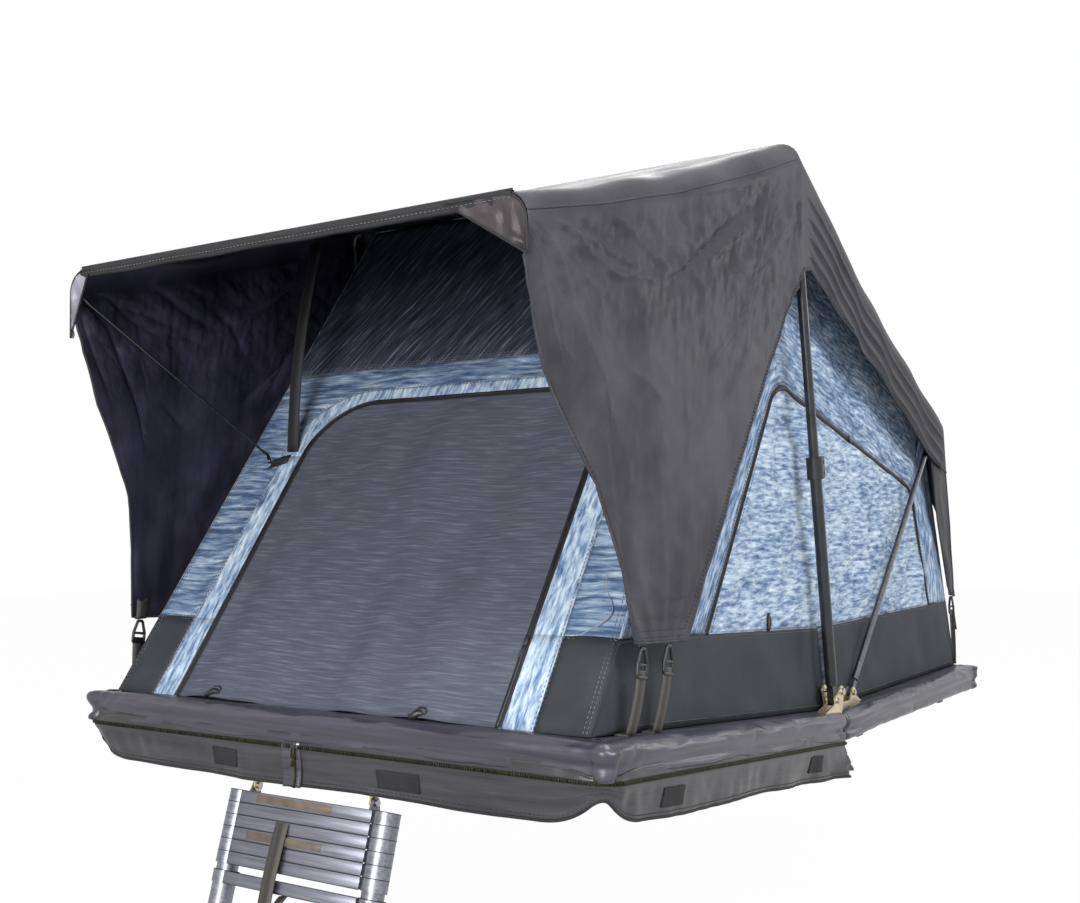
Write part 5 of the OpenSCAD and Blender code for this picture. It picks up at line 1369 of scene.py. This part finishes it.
class TENT_OT_awning_frame(bpy.types.Operator):
    """Bowed awning bar, its spring rods, their pockets on the front wall and the awning ties"""

    bl_idname = "tent.awning_frame"
    bl_label = "Awning frame"

    def execute(self, context):
        body = "fold_out_half"
        bend, leg = 42.0, 26.0
        right = np.concatenate([[(AWNING_HALF_W, AWNING[1] - bend - leg)],
                                arc((AWNING_HALF_W - bend, AWNING[1] - bend), bend, 0, 90, 12)])
        line = np.concatenate([right, mirrored(right)[::-1]])
        bar = Work().tube(laid(line[:, 0], AWNING[0], line[:, 1]), 6.0, 14)
        bar_piece = bar.make_folding("awning_bar_tube", body, "grey coated tube")
        rods, pockets = Work(), Work()
        foot_s = 690.0
        for side in (1, -1):
            foot = front_point(side * 545.0, foot_s, 6.0)
            rods.tube(spaced([(side * 606.0, -1826.0, 1093.0), foot], 30), 3.0, 10)
            rods.tube(spaced([foot, foot - np.array([side * 18, *(WALL_UP * 22)])], 4), 4.2, 10)
            x, s = np.meshgrid(side * np.linspace(470, 578, 12), np.linspace(-13, 13, 5), indexing="ij")
            s = foot_s - 10 + s - 0.35 * (np.abs(x) - 470)
            pockets.grid(front_point(x, s, 3.0 + 1.2 * np.cos(s / 6)), laid(np.abs(x), s))
        rod_piece = rods.make_folding("awning_rod_bars", body, "grey coated tube")
        pocket_piece = pockets.make_folding("awning_rod_pockets", body, "zip tape", thick=2.0)
        as_sheet(pocket_piece)
        stand_for([bar_piece], "awning_bar")
        stand_for([rod_piece], "awning_rods")
        stand_for([pocket_piece], "awning_rod_tabs")
        ties = Work()
        for side in (1, -1):
            start, end = front_point(side * 466.0, 700.0, 4.0), np.array([side * 452.0, -1195.0, 1296.0])
            ties.ribbon(slack(start, end, 20, (0, -22, -8.8)), [1, 0.2, 0], 32.0)
        tie_piece = ties.make_folding("awning_ties", body, "zip tape", thick=1.6)
        as_sheet(tie_piece)
        return {"FINISHED"}


def buckle(work, top, down, across, width=40.0, height=58.0, thick=8.0):
    """Adds a three-cornered buckle with its cross bars, hung from the middle of its top edge."""
    down, across = unit(down), unit(across)
    out = np.cross(across, down)
    outline = np.array([(-0.2, 0.0), (0.2, 0.0), (0.5, 0.55), (0.5, 1.0), (-0.5, 1.0), (-0.5, 0.55),
                        (-0.2, 0.0)])
    path = spaced(outline * [width - 6, height - 6] + [0, 3], 40)
    work.tube(top + path @ np.array([across, down]), thick / 2.2, 8)
    w = across * (width - 6) / 2
    for share in (0.56, 0.78):
        middle = top + down * share * height
        work.tube(spaced([middle - w, middle + w], 6), 3.2, 8)
    work.block(top + down * height * 0.88, down, out, (height * 0.2, width * 0.8, 5.0))


class TENT_OT_tie_downs(bpy.types.Operator):
    """Tie-down webbing and buckles of the fly, at the front tabs and the rear flap"""

    bl_idname = "tent.tie_downs"
    bl_label = "Tie-downs"

    def execute(self, context):
        web, grip, lean = sizes().web_width / MM, 44.0, math.radians(8)
        for place, body in HALVES.items():
            straps, buckles = Work(), Work()
            for side in (1, -1):
                if place == "front":
                    down, foot_x = np.array([0, -math.sin(lean), -math.cos(lean)]), 672.0
                    rows = ((-1583.0, 340.0, -1604.0, 351.0), (-1479.0, 336.0, -1502.0, 345.0))
                    for y, z, foot_y, hem in rows:
                        top = np.array([side * TAB_X, y, z])
                        foot = tilted([side * foot_x, foot_y, ROLL_TOP + 1.5])
                        path = slack(top + down * grip, foot, 14, (side * 3, 0, 0))
                        straps.ribbon(path, [0, 1, -0.25], web)
                        lie = laid(side * (foot_x - np.array([0, 8, 16, 26])), foot_y + 3, ROLL_TOP + 2.2)
                        straps.ribbon(tilted(lie), [0, 1, 0], web)
                        stub = spaced([top - down * 2, [side * (TAB_X - 3), y + 2, hem],
                                       [side * (TAB_X - 4), y + 4, hem + 40]], 8)
                        straps.ribbon(stub, [0, 1, 0], web)
                        buckle(buckles, top, down, [0, 1, -0.14])
                else:
                    top, foot = np.array([side * 636.0, 546.0, 306.4]), np.array([side * 640.0, 541.0, 97.5])
                    down, turned = unit(foot - top), np.array([0.6 * side, -0.8, 0])
                    start = top + down * grip
                    for path in (slack(start, foot, 14, (0, 6, 0)),
                                 spaced([top - down * 2, [side * 634, 543, 340]], 5),
                                 spaced([start + [0, 5, 0], start + [side * 4, 13, -60]], 6)):
                        straps.ribbon(path, turned, web)
                    buckle(buckles, top, down, turned)
            strap = straps.make_folding(f"{place}_fly_webbing", body, "polyester webbing", thick=2.0)
            clip = buckles.make_folding(f"{place}_fly_clips", body, "moulded nylon")
            as_sheet(strap)
            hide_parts(f"{place}_fly_straps")
            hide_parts(f"{place}_fly_buckles")
        return {"FINISHED"}


# The skirt's side, front, zip and depth, the place of its slit, and its corner's radius
SKIRT_X, SKIRT_FRONT, SKIRT_TOP, SKIRT_DEEP = 702.0, -1732.0, 17.7, 74.0
SKIRT_SLIT, SKIRT_TURN = -28.0, 55.0
SKIRT_START = FOLD[0] - 10


def skirt_line():
    """The skirt's line seen from above, from its right rear end round the front to its left rear end."""
    turn = arc((SKIRT_X - SKIRT_TURN, SKIRT_FRONT + SKIRT_TURN), SKIRT_TURN, 0, -90, 13)
    right = np.concatenate([[(SKIRT_X, SKIRT_START)], turn])
    return np.concatenate([right, mirrored(right)[::-1]])


def skirt_place(at, t, lift=0.0):
    """Places on the skirt, at along its line, t down from its zip, lifted off the cloth; and the way out."""
    line = skirt_line()
    run = reached(line)
    at, t, lift = np.broadcast_arrays(at, t, lift)
    back, base, ahead = (laid(*(np.interp(at + d, run, column) for column in line.T)) for d in (-3, 0, 3))
    along = unit(ahead - back)
    out = laid(-along[..., 1], along[..., 0])
    # The corners are drawn in and lifted, and the free ends flare
    corner = sum(np.exp(-((at - run[k]) / 64) ** 2) for k in (7, -8))
    sway = sizes().skirt_wave / MM * np.sin(2 * math.pi * at / 270) + 1.5 * crumple(at, 0 * at, 130, 131)
    crease = (1.0 + 3 * corner) * crumple(at + 26 * t, 50 * t, 62, 133)
    free = 30 * np.exp(-np.minimum(at, run[-1] - at) / 30) + 9 * np.exp(-np.abs(at - slit_run()) / 22)
    reach = (t * (sway - 14) + np.minimum(3 * t, 1) * crease + t ** 2 * (free - 14 * corner)
             - 20 * np.maximum(-t, 0) + 1.5 + lift)
    deep = SKIRT_DEEP + 2 * np.sin(2 * math.pi * at / 610) - 44 * corner
    place = np.concatenate([base + reach[..., None] * out, (SKIRT_TOP - t * deep)[..., None]], axis=-1)
    return tilted(place), np.concatenate([out, np.zeros((*at.shape, 1))], axis=-1)


def slit_run():
    """How far along its line the skirt's slit lies."""
    line = skirt_line()
    middle = len(line) // 2
    return float(reached(line)[middle - 1] + line[middle - 1, 0] - SKIRT_SLIT)


class TENT_OT_skirt(bpy.types.Operator):
    """Zip-on skirt under the fold-out half, with its slit, hem piping, patches and zip"""

    bl_idname = "tent.skirt"
    bl_label = "Skirt"

    def execute(self, context):
        body = "fold_out_half"
        slit, whole = slit_run(), reached(skirt_line())[-1]
        skirt, trim, teeth = Work(), Work(), Work()
        t = np.linspace(-0.4, 1, 24)
        for start, end in ((0.0, slit - 5), (slit + 5, whole)):
            at = np.linspace(start, end, int((end - start) / 8))
            g, out = skirt_place(at[:, None], t[None])
            skirt.grid(g, laid(at[:, None], -SKIRT_DEEP * t))
            trim.tube(g[:, -1], 3.2, 8)
            trim.stitches(g[:, -3] + 1.8 * out[:, -3], out[:, -3], slot=1)
            top = skirt_place(at, 0 * at, 2.0)[0] + [0, 0, 3.4]
            teeth.ribbon(top, [0, 0, 1], 9.0, slot=1)
            ends = spaced(top, int((end - start) / 5.5))
            face = out[np.linspace(0, len(at) - 1, len(ends)).astype(int), 0]
            for p, a, o in zip(ends, np.gradient(ends, axis=0), face):
                teeth.block(p + 1.6 * o, a, o, (3.0, 6.0, 2.6))
        # The slit's edge is folded back over its zip
        at, down = np.meshgrid(np.linspace(slit - 9, slit + 40, 9), np.linspace(-0.1, 1.06, 18),
                               indexing="ij")
        fold = 3 + 2.4 * np.sin((at - slit) / 5) + 3 * down
        g = skirt_place(at, down, fold)[0]
        skirt.grid(g, laid(at, -SKIRT_DEEP * down), slot=1)
        teeth.tube(g[2] - [0, 2.4, 0], 2.4, 8)
        teeth.block(g[2, 3] - [0, 6, 0], [0, 0.1, 1], [0, -1, 0], (20, 9, 4))
        teeth.block(g[2, 6] - [0, 7, 0], [0.2, 0.1, 1], [0, -1, 0], (26, 6, 2.4))
        # A three-cornered gusset hangs at each rear end, under the start of the other half's roll
        down, wide = np.meshgrid(np.linspace(0, 1, 14), np.linspace(0, 1, 10), indexing="ij")
        spread, drop = wide * (14 + 70 * down), SKIRT_DEEP * down
        wave = 2.5 * crumple(spread, 90 * down, 42, 137, True) - 5 * np.sin(3.2 * math.pi * wide)
        x = SKIRT_X - 9 + down * wave
        for side in (1, -1):
            points = laid(side * x, SKIRT_START - 4 + spread, SKIRT_TOP - 2 - drop)
            skirt.grid(points, laid(spread, -drop), slot=1)
        cloth = skirt.make("skirt_cloth", body, "pvc-coated polyester, skirt, painted shade", "pvc-coated polyester",
                           thick=1.8)
        hem = trim.make("skirt_hem", body, "black binding tape", "dark thread")
        zipper = teeth.make("skirt_zip_teeth", body, "brass zip teeth", "zip tape")
        patches = Work()
        front = slit + SKIRT_SLIT
        for middle, wide, drop in ((front + 241, 74, 36), (front - 233, 104, 40),
                                   (SKIRT_START + 1481, 84, 38), (SKIRT_START + 760, 66, 34)):
            u, v = np.meshgrid(np.linspace(-wide / 2, wide / 2, 15), np.linspace(-18, 18, 9), indexing="ij")
            patches.grid(skirt_place(middle + u, (drop + v) / SKIRT_DEEP, 2.4)[0], laid(u, v))
        patch = patches.make("skirt_patches", body, "hook-and-loop tape", thick=1.6)
        as_sheet(cloth)
        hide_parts("skirt")
        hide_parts("skirt_zip")
        return {"FINISHED"}


# The ladder's pivot, and the ways across it, out of its face and down its stiles
LADDER_PIVOT, LADDER_LEAN = np.array([0, -1719.83, 20.99]), math.radians(18)
LADDER_WAYS = np.array([(1, 0, 0), (0, -math.cos(LADDER_LEAN), math.sin(LADDER_LEAN)),
                        (0, -math.sin(LADDER_LEAN), -math.cos(LADDER_LEAN))])
RUNG_TOP, RUNG_STEP = 15.0, 25.0


def on_ladder(places):
    """Places given across the ladder, out of its face and down its stiles."""
    return LADDER_PIVOT + np.array(places, float) @ LADDER_WAYS


class TENT_OT_ladder_trim(bpy.types.Operator):
    """Webbing strap over the ladder's rungs and the plain plates on them"""

    bl_idname = "tent.ladder_trim"
    bl_label = "Ladder trim"

    def execute(self, context):
        low, high = (corner[0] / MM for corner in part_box("ladder_strap"))
        x, ahead, wide = (low + high) / 2, LADDER_WAYS[1], [1, 0, 0]
        # The strap comes up behind the third rung, goes over it and hangs down in front
        path = [(x, -27, 124), (x, -27, 95), (x, -26.5, 70), (x, -22, 65.2), (x, 0, 64.8), (x, 22, 65.2),
                (x, 27, 69), (x, 29, 90), (x, 32, 130), (x, 34, 180), (x, 33, 225), (x, 28, 252),
                (x, 14, 262)]
        strap = Work().ribbon(spaced(on_ladder(path), 60), wide, 1.15 * (high - low))
        end = x + 26
        loop = [(end, 10, 205), (end, 24, 222), (end, 30, 238), (end, 22, 252), (end, 4, 258)]
        strap.ribbon(spaced(on_ladder(loop), 16), [1, 0, 0.2], 24.0)
        made = strap.make("ladder_strap_webbing", "ladder_3", "polyester webbing", thick=1.8)
        ring = arc((0, 0), 27, 0, 360, 25)
        for rung in range(7):
            at = RUNG_TOP + RUNG_STEP * rung + (14 if rung == 6 else 0)
            faces = Work()
            # A slightly wider black sheet behind each rung face and a thin black ring round each stile are
            # painted shade in the gaps between the sections
            faces.block(on_ladder((0, 25.2, at + 12.35)), wide, ahead, (356, 22.4, 0.8))
            faces.block(on_ladder((0, 24.5, at + 12.5)), wide, ahead, (356, 25.0, 0.6), 1)
            for side in (-197, 197):
                faces.tube(on_ladder(laid(side + ring[:, 0], ring[:, 1], at + 0.1)), 0.9, 6, slot=1)
            faces.make(f"ladder_rung_face_{rung + 1}", f"ladder_{rung + 1}", "anodised aluminium",
                               "moulded nylon")
        for rung, across in ((0, -28), (3, -36)):
            middle = on_ladder((across, 26.0, RUNG_TOP + RUNG_STEP * rung + 12.4))
            plate = Work().block(middle, wide, ahead, (206, 15.5, 0.9))
            plate.make(f"ladder_plate_{rung + 1}", f"ladder_{rung + 1}", "label foil")
        as_sheet(made)
        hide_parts("ladder_strap")
        return {"FINISHED"}


class TENT_OT_metalwork(bpy.types.Operator):
    """Finishes of the boards, frames, hinges, hoops and ladder"""

    bl_idname = "tent.metalwork"
    bl_label = "Metalwork and boards"

    def execute(self, context):
        for name, solids in NODE_FINISHES.items():
            for solid in solids:
                for holder in frame["nodes"][solid].material_slots:
                    holder.material = finish(name)
        return {"FINISHED"}


# The camera fitted to the photo: its frame in pixels, its place in metres and its turn in degrees
PHOTO_WIDE, PHOTO_HIGH, FOCAL_PX, CENTRE_PX = 1080, 903, 1338.53, (458.64, 440.58)
EYE, YAW, PITCH, ROLL = (1.87526, -3.78251, 0.59402), 35.99, 3.0148, -0.7892


def seen_directly(tree):
    """1 for what the camera sees, straight, mirrored or through something, and 0 for light that falls."""
    rays = node(tree, "LightPath")
    seen = node(tree, "Math", {0: rays["Is Camera Ray"], 1: rays["Is Glossy Ray"]}, operation="MAXIMUM")[0]
    return node(tree, "Math", {0: seen, 1: rays["Is Transmission Ray"]}, operation="MAXIMUM")[0]


def staged(data, place, side, head, ahead):
    """Puts a camera or light at a place, facing ahead."""
    made = bpy.data.objects.new(data.name, data)
    bpy.context.scene.collection.objects.link(made)
    turn = Matrix(np.stack([side, head, -ahead], axis=1).tolist()).to_4x4()
    made.matrix_world = Matrix.Translation(place) @ turn
    return made


class TENT_OT_stage(bpy.types.Operator):
    """Pale floor, soft studio light and the camera"""

    bl_idname = "tent.stage"
    bl_label = "Stage"

    def execute(self, context):
        scene = context.scene
        scene.view_settings.view_transform = "Standard"
        yaw, pitch, roll = (math.radians(a) for a in (YAW, PITCH, ROLL))
        ahead = np.array([-math.sin(yaw), math.cos(yaw), 0])
        right = np.array([math.cos(yaw), math.sin(yaw), 0])
        up = np.array([0, 0, 1.0])
        look = ahead * math.cos(pitch) + up * math.sin(pitch)
        head = up * math.cos(pitch) - ahead * math.sin(pitch)
        side = right * math.cos(roll) + head * math.sin(roll)
        head = head * math.cos(roll) - right * math.sin(roll)
        camera = staged(bpy.data.cameras.new("camera"), EYE, side, head, look)
        camera.data.sensor_width = 36.0
        camera.data.lens = 36.0 * FOCAL_PX / PHOTO_WIDE
        camera.data.shift_x = (PHOTO_WIDE / 2 - CENTRE_PX[0]) / PHOTO_WIDE
        camera.data.shift_y = (CENTRE_PX[1] - PHOTO_HIGH / 2) / PHOTO_WIDE
        camera.data.clip_end = 100
        scene.camera = camera

        floor_mesh = bpy.data.meshes.new("floor")
        level, a = CAD_BOX[0][2] - 0.004, 14.0
        floor_mesh.from_pydata([(-a, -a, level), (a, -a, level), (a, a, level), (-a, a, level)], [],
                               [(0, 1, 2, 3)])
        floor = bpy.data.objects.new("floor", floor_mesh)
        scene.collection.objects.link(floor)
        paper = bpy.data.materials.new("white studio paper")
        paper.use_nodes = True
        tree = paper.node_tree
        tree.nodes.clear()
        # Matt white paper: seen straight on it is nearly the white of the page, and it keeps a faint shadow
        matt = node(tree, "BsdfDiffuse", values={"Color": shade("#c4c4c4")})[0]
        glow = node(tree, "Emission", values={"Color": (1, 1, 1, 1), "Strength": 1.0})[0]
        share = node(tree, "Math", {0: seen_directly(tree)}, {1: 0.98}, operation="MULTIPLY")[0]
        blend = node(tree, "MixShader", {0: share, 1: matt, 2: glow})[0]
        node(tree, "OutputMaterial", {0: blend})
        floor_mesh.materials.append(paper)

        world = bpy.data.worlds.new("studio")
        scene.world = world
        world.use_nodes = True
        tree = world.node_tree
        tree.nodes.clear()
        strength = node(tree, "MapRange", {0: seen_directly(tree)}, {3: 0.36, 4: 1.0})[0]
        sky = node(tree, "Background", {1: strength}, {"Color": (1, 1, 1, 1)})[0]
        node(tree, "OutputWorld", {0: sky})

        for name, place, aim, size, power in (
                ("key", (4.6, -2.6, 4.2), (0, -0.6, 0.6), 2.4, 260.0),
                ("front fill", (1.1, -5.3, 1.5), (0, -1.3, 0.6), 2.0, 168.0),
                ("rear fill", (-2.5, 4.2, 4.2), (0, 0, 0.5), 2.6, 90.0),
                ("rim", (3.4, 3.4, 1.7), (0.6, -0.9, 0.9), 1.4, 26.0),
                ("overhead", (0.3, -0.6, 4.8), (0, -0.6, 0), 2.6, 40.0)):
            lamp = bpy.data.lights.new(name, "AREA")
            lamp.shape, lamp.size, lamp.energy = "DISK", size, power
            toward = unit(np.array(aim) - np.array(place))
            side = unit(np.cross(toward, [0, 0, 1.0] if abs(toward[2]) < 0.95 else [0, 1.0, 0]))
            staged(lamp, place, side, np.cross(side, toward), toward)
        return {"FINISHED"}


OPERATORS = (TENT_OT_stage, TENT_OT_metalwork, TENT_OT_edge_rolls, TENT_OT_mattresses, TENT_OT_front_wall,
             TENT_OT_side_walls, TENT_OT_lower_band, TENT_OT_roof_and_rear_wall, TENT_OT_rain_fly,
             TENT_OT_rear_flap, TENT_OT_awning_frame, TENT_OT_tie_downs, TENT_OT_skirt, TENT_OT_ladder_trim)


class TENT_PT_panel(bpy.types.Panel):
    """Lists the tent's pieces, sizes and colours"""

    bl_idname = "TENT_PT_panel"
    bl_label = "Roof top tent"
    bl_space_type = "VIEW_3D"
    bl_region_type = "UI"
    bl_category = "Tent"

    def draw(self, context):
        column = self.layout.column()
        for operator in OPERATORS:
            column.operator(operator.bl_idname)
        for group in (context.scene.tent_sizes, context.scene.tent_colours):
            for key in group.__annotations__:
                column.prop(group, key)


CLASSES = (TentSizes, TentColours, *OPERATORS, TENT_PT_panel)


def register():
    """Registers the classes and their settings."""
    for kind in CLASSES:
        bpy.utils.register_class(kind)
    bpy.types.Scene.tent_sizes = PointerProperty(type=TentSizes)
    bpy.types.Scene.tent_colours = PointerProperty(type=TentColours)


def unregister():
    """Takes the classes and their settings away again."""
    del bpy.types.Scene.tent_colours
    del bpy.types.Scene.tent_sizes
    for kind in reversed(CLASSES):
        bpy.utils.unregister_class(kind)


def main():
    """Registers the tent's classes and builds the tent."""
    register()
    for operator in OPERATORS:
        group, name = operator.bl_idname.split(".")
        getattr(getattr(bpy.ops, group), name)()


if __name__ == "__main__":
    main()
